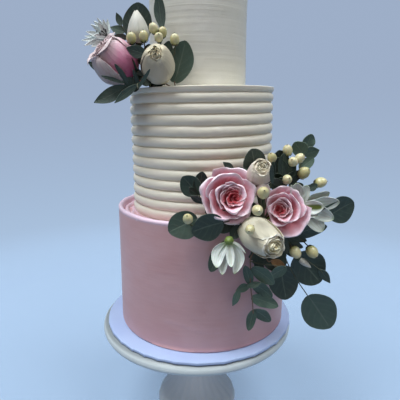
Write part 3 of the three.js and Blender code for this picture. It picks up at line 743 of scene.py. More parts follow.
OPEN_ROSE = [
    # petals, half-width in degrees, turn, (radius, height) line, rim dip, side tuck, frill
    (3, 76, 0, [(0.08, 0.0), (0.5, 0.14), (0.8, 0.34), (0.95, 0.47), (1.03, 0.5), (1.07, 0.43)], 0.17, 0.05, 0.065),
    (3, 80, 58, [(0.06, 0.05), (0.4, 0.22), (0.64, 0.47), (0.77, 0.66), (0.85, 0.73), (0.89, 0.67)], 0.2, 0.1, 0.055),
    (3, 84, 100, [(0.05, 0.1), (0.24, 0.3), (0.39, 0.54), (0.47, 0.73), (0.53, 0.81), (0.57, 0.785)], 0.16, 0.13, 0.045),
    (3, 84, 30, [(0.04, 0.1), (0.19, 0.3), (0.3, 0.52), (0.37, 0.69), (0.41, 0.755), (0.43, 0.755)], 0.12, 0.15, 0.036),
    (3, 86, 75, [(0.03, 0.15), (0.16, 0.4), (0.25, 0.56), (0.31, 0.68), (0.345, 0.73)], 0.1, 0.17, 0.03),
    (3, 86, 20, [(0.03, 0.2), (0.12, 0.45), (0.19, 0.58), (0.24, 0.67), (0.27, 0.715)], 0.09, 0.2, 0.026),
    (2, 110, 110, [(0.02, 0.2), (0.1, 0.46), (0.15, 0.6), (0.2, 0.7)], 0.08, 0.28, 0.02),
    (2, 110, 10, [(0.02, 0.2), (0.06, 0.46), (0.09, 0.58), (0.12, 0.69)], 0.07, 0.3, 0.016),
    (1, 150, 90, [(0.01, 0.3), (0.03, 0.5), (0.045, 0.68)], 0.06, 0.35, 0.01),
]
POINTED_BUD = [
    (
        3, 96, 0, [(0.1, 0.0), (0.6, 0.05), (0.97, 0.24), (1.0, 0.38), (0.72, 0.68), (0.34, 0.9), (0.14, 0.99)],
        0.14, 0.06, 0.01,
    ),
    (3, 100, 60, [(0.08, 0.03), (0.5, 0.12), (0.86, 0.32), (0.84, 0.5), (0.5, 0.78), (0.16, 0.97)], 0.1, 0.08, 0.01),
    (2, 120, 20, [(0.05, 0.1), (0.4, 0.3), (0.5, 0.5), (0.3, 0.8), (0.07, 1.0)], 0.06, 0.1, 0.005),
]


def closed_rose(mouth, flare=0.0, dip=0.16):
    """Layers of a half-open rose.

    mouth is its opening's share of its width, flare turns the rims out, and dip lowers the petals' corners.
    """
    layers = []
    for number, (count, span) in enumerate([(3, 84), (3, 84), (3, 86), (3, 88), (2, 100), (1, 150)]):
        inward = number / 5
        belly = 1 - 0.1 * number - 0.35 * inward**3
        opening = mouth * (1 - 0.86 * inward)
        rim = 0.93 + 0.075 * inward
        line = [(0.1 - 0.08 * inward, 0.35 * inward), (0.55 * belly, 0.05 + 0.4 * inward)]
        line += [(0.95 * belly, 0.28 + 0.24 * inward), (belly, 0.48 + 0.12 * inward)]
        line += [(0.55 * belly + 0.45 * opening, 0.77), (opening, rim - 0.035)]
        line += [(opening * (1 + flare * (1 - inward)), rim)]
        if flare and not number:
            line += [(opening * (1 + 1.5 * flare), rim - 0.05)]
        corner, tuck, frill = dip * (1 - 0.5 * inward), 0.055 + 0.08 * inward, 0.022 - 0.008 * inward
        layers.append((count, span, 60 * number % 100, line, corner, tuck, frill))
    return layers


def heart_of(place):
    return RIGHT_HEART if place[2] < BETWEEN_SPRAYS else TOP_HEART


def from_heart(place, share):
    """The point at a share of the way from the heart of a spray to a place in it."""
    return heart_of(place) + (np.asarray(place) - heart_of(place)) * share


def petal(turn, span, line, dip, tuck, wave, seed, roll, size=(23, 19), point=0.0, close=0.0):
    """A petal about the Z axis, as a grid of points in shares of the flower's radius and length.

    dip lowers its corners, tuck lifts one side over the next petal, wave frills its rim, roll turns its
    sides out, point draws out the middle of its rim, and close draws the tucked side in again at the rim.
    """
    random = np.random.default_rng(seed)
    across, along = np.linspace(-1, 1, size[0])[:, None], np.linspace(0, 1, size[1])[None, :]
    side = np.abs(across)
    radius, height = along_line(line, along * (1 - dip * side**1.9))
    narrow = 0.35 + 0.65 * np.sin(math.pi / 2 * np.clip(along / 0.5, 0, 1))
    angle = turn + across * span * narrow * (1 - 0.12 * step_between(0.75, 1, along))
    lobes = random.uniform(2.2, 4.2)
    frill = wave * np.sin(lobes * across * math.pi / 2 + random.uniform(0, 6)) * along**4
    frill = frill + wave * 0.3 * np.sin(lobes * (2.6 * across + 5) * math.pi / 2) * along**7
    radius = radius * (1 + tuck * across * (1 - close * along**5)) + roll * side**3 * along**2 + frill
    radius = radius + point * np.exp(-((across / 0.16) ** 2)) * along**6
    height = height + frill * 0.8 - roll * 0.5 * side**3 * along**3
    return around(angle, radius, height), along + 0 * across, across + 0 * along


def bent(points, length, degrees, way):
    """Bends a flower that grows along Z towards a way in the XY plane."""
    if not degrees:
        return points
    curve = math.radians(degrees)
    arc = length / curve
    turn = curve * points[..., 2] / length
    near = points[..., :2] @ way
    moved = arc - (arc - near) * np.cos(turn)
    flat = points[..., :2] + (moved - near)[..., None] * way
    return np.concatenate([flat, ((arc - near) * np.sin(turn))[..., None]], -1)


def make_flower(
    name, look, slot, radius, layers, turn, seed, thickness, bend=0, outer=(), shift=(0, 0), vary=0.09, close=0.0
):
    """Makes a flower of rings of petals, from the outside in. The first one is its guard petal.

    outer scales the outermost petals, shift moves the heart aside, bend turns the mouth to the front,
    vary is how much the other petals differ in size, and close is how far their rims shut.
    """
    random, body = np.random.default_rng(seed), Body()
    seat, tip = HEADS[name][:2]
    length = np.linalg.norm(np.subtract(tip, seat))
    front = unit((bearings(seat, tip) @ VIEWER)[:2])
    for number, (count, span, start, line, dip, tuck, wave) in enumerate(layers):
        layer = 1 - number / (len(layers) - 1)
        count = len(outer) if outer and not number else count
        for step in range(count):
            place = math.radians(turn + start + 360 * step / count + random.uniform(-7, 7))
            grow = outer[step] if number == 0 and outer else 1 + random.uniform(-vary, vary)
            own = [(r * (1 + (grow - 1) * z / line[-1][1]), z) for r, z in line]
            shape = {"seed": random.integers(1e6), "roll": 0.018 * layer, "point": vary * 0.5 * layer**3}
            grid, along, across = petal(place, math.radians(span), own, dip, tuck, wave, close=close, **shape)
            grid = grid * [radius, radius, length] + [shift[0] * (1 - layer), shift[1] * (1 - layer), 0]
            made = aimed(thin(bent(grid, length, bend, front), thickness), seat, tip)
            body.add(made, along=along, across=across, layer=layer, guard=float(number == step == 0))
    body.piece(name + "_petals", look, slot, [name])


class CAKE_OT_roses(Operator):
    """Two open pink roses in the right-hand spray"""

    bl_idname = "cake.roses"
    bl_label = "Open roses"

    def execute(self, context):
        colours, thick = context.scene.cake_colours, context.scene.cake_sizes.petal_thickness
        # The fourth colour is the painted shade at the petals' foot.
        tones = (colours.rose_deep, colours.rose_pink, colours.rose_rim, (0.60, 0.05, 0.07))
        look = petal_look("pink_rose_petal", *tones, (0.90, 1.0), 0.5, (1.0, 0.6), 0.06)
        for name, radius, turn, seed, outer, shift in [
            ("rose_left", 28.5, 172, 3, (0.93, 1.0, 1.03), (8.5, -2.5)),
            ("rose_right", 21.5, 302, 8, (1.3, 1.0, 1.12, 1.2), (-8, -2)),
        ]:
            make_flower(name, look, "pink_petal", radius, OPEN_ROSE, turn, seed, thick, 0, outer, shift)
        return {"FINISHED"}


class CAKE_OT_buds(Operator):
    """Half-open rosebuds and pointed buds of both sprays"""

    bl_idname = "cake.buds"
    bl_label = "Rosebuds"

    def execute(self, context):
        thick, cream = context.scene.cake_sizes.petal_thickness, context.scene.cake_colours.ivory_petal
        # The fourth colour of each set is the painted shade at the petals' foot.
        tones = ((1.0, 0.95, 0.70), cream, (0.90, 0.88, 0.78), (0.50, 0.47, 0.33))
        ivory = petal_look("ivory_rose_petal", *tones, (0.93, 1.0), 0.06, (0.55, 0.1), 0.05)
        tones = ((0.95, 0.86, 0.60), (0.55, 0.50, 0.38), (0.80, 0.73, 0.54), (0.52, 0.47, 0.34))
        beige = petal_look("beige_rose_petal", *tones, (0.84, 1.0), 0.1)
        tones = ((0.92, 0.86, 0.64), (0.66, 0.55, 0.50), (0.82, 0.77, 0.64), (0.62, 0.47, 0.45))
        blush = petal_look("blush_rose_petal", *tones, vein=0.15)
        tones = ((0.70, 0.56, 0.58), (0.56, 0.25, 0.36), (0.70, 0.60, 0.61), (0.50, 0.03, 0.17))
        mauve = petal_look("mauve_rose_petal", *tones, (0.55, 0.95), 0.5, (0.9, 0.2), 0.22, (0.46, 0.43, 0.38))
        white = petal_look("white_bud_petal", (0.52, 0.52, 0.46), (0.56, 0.555, 0.505), (0.70, 0.68, 0.60), vein=0.1)
        rosy = petal_look("rosy_bud_petal", (0.62, 0.44, 0.42), (0.70, 0.55, 0.52), (0.78, 0.70, 0.66), vein=0.2)
        for name, look, slot, radius, layers, turn, seed, bend, outer in [
            ("rose_ivory", ivory, "ivory_petal", 17.6, closed_rose(0.7, 0.08), 328, 4, 58, (1.12, 1, 1)),
            ("rose_blush", blush, "ivory_petal", 13.8, closed_rose(0.66, 0.05), 30, 5, 48, ()),
            ("rose_top_pink", mauve, "pink_petal", 23.5, closed_rose(0.66, 0.26), 250, 6, 10, (1.1, 1.0, 1.12)),
            ("rose_top_white", beige, "ivory_petal", 17.5, closed_rose(0.4, 0.0, 0.06), 100, 9, 76, (1.0, 1, 1)),
            ("bud_top_white", white, "white_petal", 11.5, POINTED_BUD, 70, 10, 0, ()),
            ("bud_blush_low", rosy, "pink_petal", 8, POINTED_BUD, 0, 11, 0, ()),
            ("bud_slender", white, "white_petal", 3.4, POINTED_BUD, 0, 12, 0, ()),
        ]:
            make_flower(name, look, slot, radius, layers, turn, seed, thick, bend, outer, vary=0.035, close=0.8)
        return {"FINISHED"}


# ---------------------------------------------------------------- berries

BERRIES = [
    # centre, the way the tip points, radius: 12 on the right, 1 on the left, 6 at the top
    (82, -92, 371, -0.3, -0.5, 0.8, 5), (103, -72, 377, -0.2, -0.4, 0.9, 5.6), (108, -80, 365, -0.4, -0.8, 0.5, 5.4),
    (117, -73, 368, 0.5, -0.5, 0.7, 5.4), (122, -76, 352, 0.5, -0.6, 0.6, 6.6), (101, -86, 346, 0.2, -0.9, 0.4, 5.4),
    (141, -78, 341, 0.9, -0.4, 0.3, 6), (68, -129, 340, 0, -0.9, 0.5, 6.2), (62, -134, 323, 0.1, -1, 0.1, 5.6),
    (54, -141, 305, -0.3, -1, 0, 4.9), (111, -101, 266, 0.4, -0.6, -0.6, 6.2), (131, -97, 265, 0.4, -0.7, -0.5, 6.4),
    (-8, -133, 314, -0.1, -0.7, 0.7, 5.2),
    (-67, -80, 494, 0, -0.4, 0.9, 5.2), (-54, -79, 496, 0, -0.4, 0.9, 5), (-44, -78, 504, -0.3, -0.5, 0.8, 4.8),
    (-35, -73, 501, 0.2, -0.4, 0.9, 4.8), (-38, -85, 494, 0.1, -0.9, 0.4, 4.6), (-22, -78, 493, 0, -0.3, 1, 5),
]
BERRY_NODES = [*(f"berry_right_{k + 1}" for k in range(12)), "berry_left", *(f"berry_top_{k + 1}" for k in range(6))]
BERRY_STRETCH = 1.2


class CAKE_OT_berries(Operator):
    """Ivory berries with a dark tip, each in a small green cup of sepals on its stalk"""

    bl_idname = "cake.berries"
    bl_label = "Berries"

    def execute(self, context):
        skin, cups = Body(), Body()
        random = np.random.default_rng(41)
        for x, y, z, *way, radius in BERRIES:
            centre, half, ahead = np.array([x, y, z]), radius * BERRY_STRETCH, unit(way)
            profile = [(radius * math.sqrt(1 - s * s) * (1 - 0.1 * s), half * s) for s in np.linspace(-1, 1, 17)[1:-1]]
            profile = [(0, -half), *profile, (0.4, half), (0.26, half + 0.5), (0.1, half + 0.9), (0, half + 1.0)]
            lumps, start = random.uniform(0.01, 0.035), random.uniform(0, 6)

            def lumpy(angle, wide, height):
                return wide * (1 + lumps * np.cos(3 * angle + start)), height

            made = turned(profile, 20, lumpy)
            along = (made[0][:, 2] / half + 1) / 2
            skin.add(aimed(made, centre, centre + way), along=along, tone=random.uniform(0, 1))
            base = centre - ahead * half
            for step in range(5):
                line = [(0.1, 0), (0.55 * radius, 0.02), (0.82 * radius, 0.28 * half), (0.98 * radius, 0.42 * half)]
                grid, *_ = petal(CIRCLE * step / 5 + start, 0.5, line, 0.75, 0.0, 0.0, 1, 0.0, (7, 7))
                made = aimed(thin(grid - [0, 0, 0.35], 0.35), base, base + way)
                cups.add(made, tone=random.uniform(0, 0.5))
            bend = base - ahead * 9 + (heart_of(base) - base) * 0.12
            stalk = [base + ahead * 0.8, base - ahead * 4, bend, from_heart(base, 0.2)]
            cups.add(tube(stalk, (0.6, 0.9)), tone=0.25)
        skin.piece("berries", berry_look(), "ivory_berry", BERRY_NODES)
        cups.piece("berry_cups_and_stalks", stalk_look(), "green_leaf")
        return {"FINISHED"}


# ---------------------------------------------------------------- leaves, lilies and star flower

ROUND, POINTED = False, True
SPRIGS = {
    # name: the stems' points, and the leaves as base, tip, width, roll in degrees, pointed or round, bow
    "sprig_left_high": (
        [[(13, -104, 314), (8, -103, 322), (3, -101, 332)]],
        [
            (3, -101, 331, -14, -104, 352, 23, -8), (3, -101, 331, 7, -102, 357, 17, 14),
            (3, -101, 331, -7, -113, 342, 8, 30, POINTED, 0.1), (8, -103, 322, -6, -112, 333, 9, -25, POINTED, 0.1),
        ],
    ),
    "sprig_left_low": ([[(24, -116, 312), (12, -119, 314), (2, -121, 311)]], [(2, -121, 311, -28, -126, 298, 30, 6)]),
    "sprig_left_big": (
        [[(44, -106, 306), (38, -112, 306), (29, -122, 307)]],
        [(29, -122, 307, -4, -131, 299, 31, -12), (38, -112, 306, 8, -114, 307, 15, 25, POINTED)],
    ),
    "leaf_low_left": ([], [(28, -117, 280, 16, -120, 251, 16, 0)]),
    "leaf_mid_high": ([], [(68, -93, 352, 59, -100, 381, 26, 10)]),
    "sprig_mid_small": (
        [[(44, -96, 354), (41, -98, 358), (38, -99, 361)]],
        [(41, -98, 358, 29, -101, 367, 7, 0, POINTED), (41, -98, 358, 56, -102, 358, 7, 0, POINTED)],
    ),
    "sprig_right_high": (
        [[(112, -70, 322), (120, -63, 354), (125, -61, 370), (127, -60, 378)]],
        [
            (127, -60, 377, 133, -60, 394, 15, 10), (125, -61, 370, 113, -62, 385, 18, -15),
            (125, -61, 370, 142, -62, 376, 15, 10, POINTED), (120, -63, 354, 136, -62, 367, 13, -20),
        ],
    ),
    "sprig_inner": (
        [[(92, -82, 322), (99, -76, 335), (100, -72, 345)]],
        [(100, -72, 344, 93, -74, 377, 26, 15), (99, -76, 335, 80, -88, 345, 14, 20)],
    ),
    "leaf_right_round": ([], [(154, -74, 300, 183, -72, 317, 34, 8)]),
    "leaf_right_low": ([], [(110, -86, 280, 150, -84, 291, 21, 25)]),
    "sprig_right_big": (
        [[(104, -82, 272), (118, -80, 256), (130, -82, 249), (144, -84, 239), (149, -84, 234)]],
        [(118, -80, 256, 150, -75, 218, 43, -8), (144, -84, 239, 158, -86, 222, 10, 15, POINTED)],
    ),
    "sprig_low_round": (
        [[(94, -94, 276), (104, -90, 252), (116, -87, 230), (133, -85, 205)]],
        [(133, -85, 206, 163, -84, 162, 42, 5, ROUND, 0.03)],
    ),
    "leaf_low_dark": ([], [(98, -90, 246, 106, -92, 204, 36, -10)]),
    "sprig_hanging": (
        [
            [
                (72, -112, 278), (59.5, -117, 268), (58.8, -119, 255),
                (59.1, -120, 237), (61.5, -121, 218), (62.8, -122, 203),
            ],
            [(58.8, -118, 262), (72, -116, 258), (84, -114, 256), (99, -112.5, 252.5)],
        ],
        [
            (59, -120, 236, 52.5, -123, 259, 10.5, -15), (60, -119, 255, 84, -122, 237.5, 18, 20, ROUND, 0.1),
            (99.5, -112.5, 252.5, 79.5, -118, 243, 14, -15), (61, -120, 237, 83, -121, 221.5, 15, 16, ROUND, 0.1),
            (70.5, -121, 239, 53.5, -124, 235, 6.5, 25, POINTED, 0.1), (59, -120, 235, 43, -125, 231, 9, 15, POINTED),
            (46.5, -124, 234, 39.5, -127, 214.5, 8, -10, POINTED, -0.1),
            (60.5, -121, 222, 90.5, -120, 210, 14.5, -14, ROUND, 0.08),
            (62.8, -122, 207, 82.5, -121, 192.5, 14.5, 14, ROUND, 0.08), (63.6, -122, 207, 58, -124, 183, 10.5, 0),
        ],
    ),
    "leaf_top_bend": ([], [(-64, -50, 494, -63, -52, 535, 32, 0, ROUND, 0.03)]),
    "leaf_top_tall": ([], [(-36, -64, 504, -40, -63, 545, 12, 12, POINTED)]),
    "leaf_top_round": ([], [(-24, -66, 450, -11, -70, 493, 29, -12)]),
    "sprig_top_small": (
        [[(-66, -50, 486), (-75, -47, 499), (-79, -46, 506), (-83, -46, 513)]],
        [
            (-83, -46, 512, -88, -46, 526, 7, 0, POINTED), (-79, -46, 506, -95, -47, 511, 10, 10, POINTED),
            (-75, -47, 499, -91, -50, 502, 7, -10, POINTED),
        ],
    ),
    "leaf_top_berry": ([], [(-51, -84, 477, -71, -88, 483, 13, -6, POINTED, 0.12)]),
    "sprig_top_low": (
        [[(-62, -66, 452), (-68, -70, 449), (-76, -70, 447)]],
        [(-75, -70, 447, -110, -78, 429, 16, 12, POINTED), (-68, -70, 449, -75, -84, 436, 8, 0, POINTED)],
    ),
    "sprig_top_cross": (
        [[(-58, -84, 449), (-60, -95, 447), (-59, -99, 443)]],
        [(-60, -95, 447, -83, -101, 428, 8, -12, POINTED), (-60, -97, 442, -45.5, -106, 460.5, 3.6, 0)],
    ),
    "leaf_top_tip": ([], [(-104, -50, 464, -121, -52, 474, 9, 10, POINTED)]),
    "leaf_dried": ([], [(82, -110, 260, 99, -110, 252, 9, -8, POINTED)]),
}
# How much lighter or darker some leaves are than the rest: partly more or less bloom, and partly painted shade, which
# darkens the leaves that lie in the flowers' shadow.
LEAF_SHADE_AND_BLOOM = {
    "leaf_low_dark": -0.7, "sprig_right_big": -0.35, "sprig_inner": -0.6, "sprig_left_high": -0.4,
    "leaf_low_left": -0.4, "leaf_top_berry": -0.9, "sprig_left_low": -0.3, "sprig_left_big": -0.45,
    "sprig_right_high": 0.8, "sprig_low_round": 0.35, "leaf_right_round": 0.25, "sprig_hanging": 0.3,
}
YOUNG_SPRIGS = ("sprig_hanging", "sprig_right_high")


def blade(base, tip, width, roll, pointed=ROUND, bow=0.06, cup=0.15, seed=0, flutter=0.5, sway=0.0, swell=0.92):
    """A leaf or petal as a grid of points: cupped across, bowed along, with a lightly waved edge."""
    base, tip = np.asarray(base, float), np.asarray(tip, float)
    length, along, turn = np.linalg.norm(tip - base), unit(tip - base), math.radians(roll)
    side = unit(np.cross(along, [0, -1, 0]))
    side = side * math.cos(turn) + np.cross(along, side) * math.sin(turn)
    face = np.cross(side, along)
    share, across = np.linspace(0.012, 1, 23)[None, :, None], np.linspace(-1, 1, 15)[:, None, None]
    half = width / 2 * np.sin(math.pi * np.clip(share, 0, 0.998) ** swell) ** (0.9 if pointed else 0.55)
    half = np.maximum(half * (1 + 0.055 * np.sin(5.5 * share + 1.7 * np.sign(across) + seed)), 0.25)
    bulge = 4 * share * (1 - share) * length
    points = base + along * share * length - face * bulge * bow + side * bulge * sway
    points = points + side * across * half + face * cup * half * across**2
    ripple = uneven(seed, 0.55 * width)(points)[..., None]
    points = points + face * flutter * min(1, width / 14) ** 2 * ripple * np.abs(across) ** 1.5 * half / (width / 2)
    return points, *(np.broadcast_to(part[..., 0], points.shape[:2]) for part in (share, across))


def add_blade(body, thickness, row, values, **options):
    """Adds a leaf or petal. row holds its base, its tip and what else blade takes."""
    points, along, across = blade(row[:3], row[3:6], *row[6:], **options)
    body.add(thin(points, thickness), along=along, across=across, **values)


class CAKE_OT_leaves(Operator):
    """Round and pointed leaves of both sprays, on thin stems"""

    bl_idname = "cake.leaves"
    bl_label = "Leaves"

    def execute(self, context):
        sizes, colours = context.scene.cake_sizes, context.scene.cake_colours
        dark, light, stem = colours.leaf_dark, colours.leaf_light, sizes.stem_radius
        random = np.random.default_rng(51)
        green = leaf_look("eucalyptus_leaf", dark, light, (0.20, 0.25, 0.19))
        young = leaf_look("young_leaf", tinted(dark, 1.35), tinted(light, 1.35), (0.24, 0.31, 0.24))
        brown = leaf_look("dried_leaf", (0.10, 0.05, 0.02), (0.26, 0.14, 0.055), (0.32, 0.2, 0.1))
        stems = Body()
        for name, (paths, leaves) in SPRIGS.items():
            body = Body()
            for leaf in leaves:
                # tone carries bloom, and also painted shade on the leaves listed as darker.
                tone = random.uniform(0, 1) + LEAF_SHADE_AND_BLOOM.get(name, 0)
                add_blade(body, sizes.leaf_thickness, leaf, {"tone": tone}, seed=int(random.integers(1e6)))
                if not paths:
                    base, back = np.array(leaf[:3]), unit(np.subtract(leaf[:3], leaf[3:6]))
                    path = [base - back * 2, base + back * 5, from_heart(base, 0.15)]
                    stems.add(tube(path, (0.6, 0.9)), tone=tone)
            look, slot = young if name in YOUNG_SPRIGS else green, "green_leaf"
            if name == "leaf_dried":
                look, slot = brown, "dried_leaf"
            body.piece(name + "_blades", look, slot, [name])
            for number, path in enumerate(paths):
                brownish = 0.75 if name == "sprig_hanging" and not number else 0.25
                stems.add(tube(path, (stem, stem * 0.8)), tone=brownish)
                if not number:
                    start = from_heart(path[0], 0.1)
                    stems.add(tube([start, (start + path[0]) / 2, path[0]], stem), tone=0.6)
        stems.piece("leaf_stems", stalk_look(), "green_leaf")
        return {"FINISHED"}


LILIES = {
    # name: heart, neck, petals as tip, width, roll, green streak, sway, tone (painted shade on the petals that lie
    # behind)
    "lily_hanging": (
        (34, -130, 289.5),
        (37, -113, 286),
        [
            (21, -138, 263.5, 14, 18, 0, 0.14, 0), (27, -139, 256, 11, 6, 0.15, 0.06, 0.35),
            (52, -127, 275, 3.4, -50, 0, -0.2, 0.1), (40, -139, 257, 13.5, -14, 0.25, -0.2, 0.1),
            (36, -143, 266, 8.5, -4, 0.35, 0, 0),
        ],
    ),
    "lily_right": (
        (114, -93, 317),
        (108, -84, 313),
        [
            (103.5, -97, 341.5, 8, 20, 0, 0, 0.15), (149, -87, 331, 17, 25, 0, 0.06, 0.6),
            (160, -90, 321, 18, 8, 0, 0.05, 0.1), (153, -95, 303, 17, 6, 0.15, 0, 0.35),
            (142, -95, 289, 20, -16, 0, -0.06, 0.45), (132, -104, 309, 14, -10, 0, -0.08, 0),
            (137, -107, 320, 15, -12, 1.0, 0.03, 0), (109, -96, 343.5, 15, 10, 0, 0, 0.25),
            (122, -93, 340.5, 13, -15, 0, 0, 0.35),
        ],
    ),
}


class CAKE_OT_lilies(Operator):
    """White lilies with green veins, one hanging and one facing right"""

    bl_idname = "cake.lilies"
    bl_label = "Lilies"

    def execute(self, context):
        look, necks = lily_look(), Body()
        for name, (heart, neck, petals) in LILIES.items():
            body = Body()
            for number, (*tip, width, roll, streak, sway, tone) in enumerate(petals):
                start = np.asarray(heart) + 0.04 * np.subtract(tip, heart)
                row = (*start, *tip, width, roll, ROUND, 0.1)
                values = {"streak": streak, "tone": tone}
                options = {"cup": 0.34, "seed": 60 + number, "flutter": 0.9, "sway": sway, "swell": 1.12}
                add_blade(body, context.scene.cake_sizes.petal_thickness, row, values, **options)
            body.piece(name + "_petals", look, "white_petal", [name])
            necks.add(tube([heart_of(neck), neck, heart], (1.1, 1.6)), tone=0.1)
            bulb = [(0, -1), (1.9, 0), (4.2, 2.8), (4.8, 6), (3.9, 9.4), (1.4, 11.6), (0, 12)]
            made = turned(smooth(bulb, 3), 14, lambda a, r, z: (r * (1 + 0.08 * np.cos(6 * a)), z))
            seat = np.asarray(heart) - unit(np.subtract(heart, neck)) * 8
            necks.add(aimed(made, seat, heart), tone=0.0)
        green = plain_look("lily_base", (0.10, 0.16, 0.022), (0.17, 0.24, 0.05), 240, 0.4)
        necks.piece("lily_bases", green, "green_leaf")
        return {"FINISHED"}


class CAKE_OT_star_flower(Operator):
    """Small white flower of many narrow petals, with dark stamens"""

    bl_idname = "cake.star_flower"
    bl_label = "Star flower"

    def execute(self, context):
        heart, body, threads = np.array([-98, -50, 500.0]), Body(), Body()
        random = np.random.default_rng(71)
        tips = [
            (-126, -54, 496), (-119, -59, 504), (-108, -53, 519), (-101, -56, 517), (-116, -50, 513), (-115, -56, 489),
            (-123, -51, 501), (-113, -48, 517), (-105, -60, 513), (-122, -58, 490), (-97, -52, 518), (-110, -62, 500),
        ]
        for number, tip in enumerate(tips):
            start = heart + 0.05 * (np.array(tip) - heart)
            row = (*start, *tip, random.uniform(4.6, 6.6), random.uniform(-30, 30), POINTED, 0.08)
            add_blade(body, 0.5, row, {}, cup=0.3, seed=number)
        for step in range(9):
            way = unit([random.uniform(-1, 0.1), random.uniform(-1.2, -0.5), random.uniform(-0.1, 1)])
            end = heart + way * random.uniform(8, 13)
            threads.add(tube([heart, heart + way * 4 + [0, 0, 0.6], end], 0.3, 5, 3))
            threads.add(aimed(turned([(0, -1.1), (0.7, -0.6), (0.8, 0.4), (0, 1.2)], 7), end, end + way))
        white = plain_look("star_petal", (0.80, 0.86, 0.86), (0.72, 0.80, 0.80), 220, 0.4)
        body.piece("flower_star_petals", white, "white_petal", ["flower_star"])
        dark = plain_look("stamen", (0.012, 0.012, 0.014), (0.03, 0.03, 0.03), 400, 0.5)
        threads.piece("flower_star_stamens", dark, "green_leaf")
        return {"FINISHED"}


INNER_TWIGS = np.array([(100, -75, 342), (92, -97, 284), (40, -104, 308), (-57, -67, 463.0)])
INNER_LEAVES = [
    # base, tip, width: small dark leaves that fill the sprays behind their flowers
    (100, -74, 345, 88, -76, 369, 20), (100, -74, 342, 108, -74, 367, 19), (98, -76, 338, 83, -84, 351, 17),
    (102, -76, 340, 118, -76, 353, 16), (100, -78, 333, 92, -88, 348, 14), (104, -80, 330, 121, -80, 339, 13),
    (98, -76, 345, 98, -78, 374, 12), (80, -104, 284, 72, -108, 262, 12), (86, -100, 286, 88, -105, 262, 14),
    (92, -98, 286, 103, -101, 265, 14), (96, -94, 284, 117, -94, 276, 14), (90, -96, 276, 99, -92, 251, 16),
    (72, -108, 283, 60, -114, 262, 10), (40, -104, 312, 18, -114, 307, 16), (40, -106, 306, 26, -116, 294, 14),
    (48, -110, 300, 38, -118, 288, 13), (26, -100, 330, 11, -108, 322, 14), (30, -104, 322, 10, -110, 314, 12),
    (-58, -70, 462, -66, -77, 447, 12), (-56, -72, 458, -52, -80, 446, 12), (-58, -66, 470, -67, -74, 485, 14),
    (-54, -68, 474, -48, -78, 488, 12), (-71, -83, 447, -82.2, -96, 466.5, 5.6), (-75, -84, 449, -97, -93, 455.5, 4),
    (-62, -74, 446, -65.5, -86, 462, 5), (-58, -66, 450, -64, -78, 457, 10), (-62, -68, 446, -73, -74, 444, 9),
    (119, -98, 302, 156, -95, 323, 2.6), (80, -102, 345, 79.5, -113, 369, 7), (100, -84, 336, 82, -93, 348, 9),
    (109, -86, 331, 128, -91, 338.5, 2.2), (124.5, -91, 335, 132.5, -93, 342, 8), (80, -106, 268, 62, -112, 258, 12),
    (74, -103, 264, 91, -107, 247, 14), (66, -110, 264, 73, -114, 244, 11), (-64, -70, 446, -77, -78, 453, 11),
    (88, -99, 268, 100, -104, 252, 12), (80, -104, 273, 58, -109, 263, 9), (82, -103, 269, 65, -109, 255, 10),
    # The two narrow leaves from (70.5, -114, 346.5) make the dark line under the blush rose: partly a sepal's edge,
    # partly painted shade in the gap below the bud.
    (80.3, -112, 345, 76.5, -121.5, 367, 4.6), (70.5, -114, 346.5, 62.5, -113.5, 350.4, 2.6),
    (70.5, -114, 346.5, 80, -112, 350, 2.6), (96, -90, 284, 127, -86, 274, 12), (94, -93, 280, 111, -92, 257, 11),
    (94, -92, 279, 123, -88, 267, 10), (-38, -63, 456, -29, -62, 494, 17),
]
# The profile of a sepal's outside, in shares of the flower's radius and length.
SEPAL_LINE = [(0.12, -0.02), (0.58, 0.03), (0.98, 0.26), (1.05, 0.48), (1.0, 0.72), (0.98, 0.9)]


def meets_flower(base, tip):
    """Whether a leaf from base to tip would pass through one of the flowers."""
    spots = base + (tip - base) * np.array([0.4, 0.6, 0.8, 1.0])[:, None]
    for seat, top, radius, _ in HEADS.values():
        way = np.subtract(top, seat)
        share = (spots - seat) @ way / (way @ way)
        aside = np.linalg.norm(spots - seat - share[:, None] * way, axis=1)
        if ((share > 0.15) & (share < 1.0) & (aside < 1.15 * radius)).any():
            return True
    return False


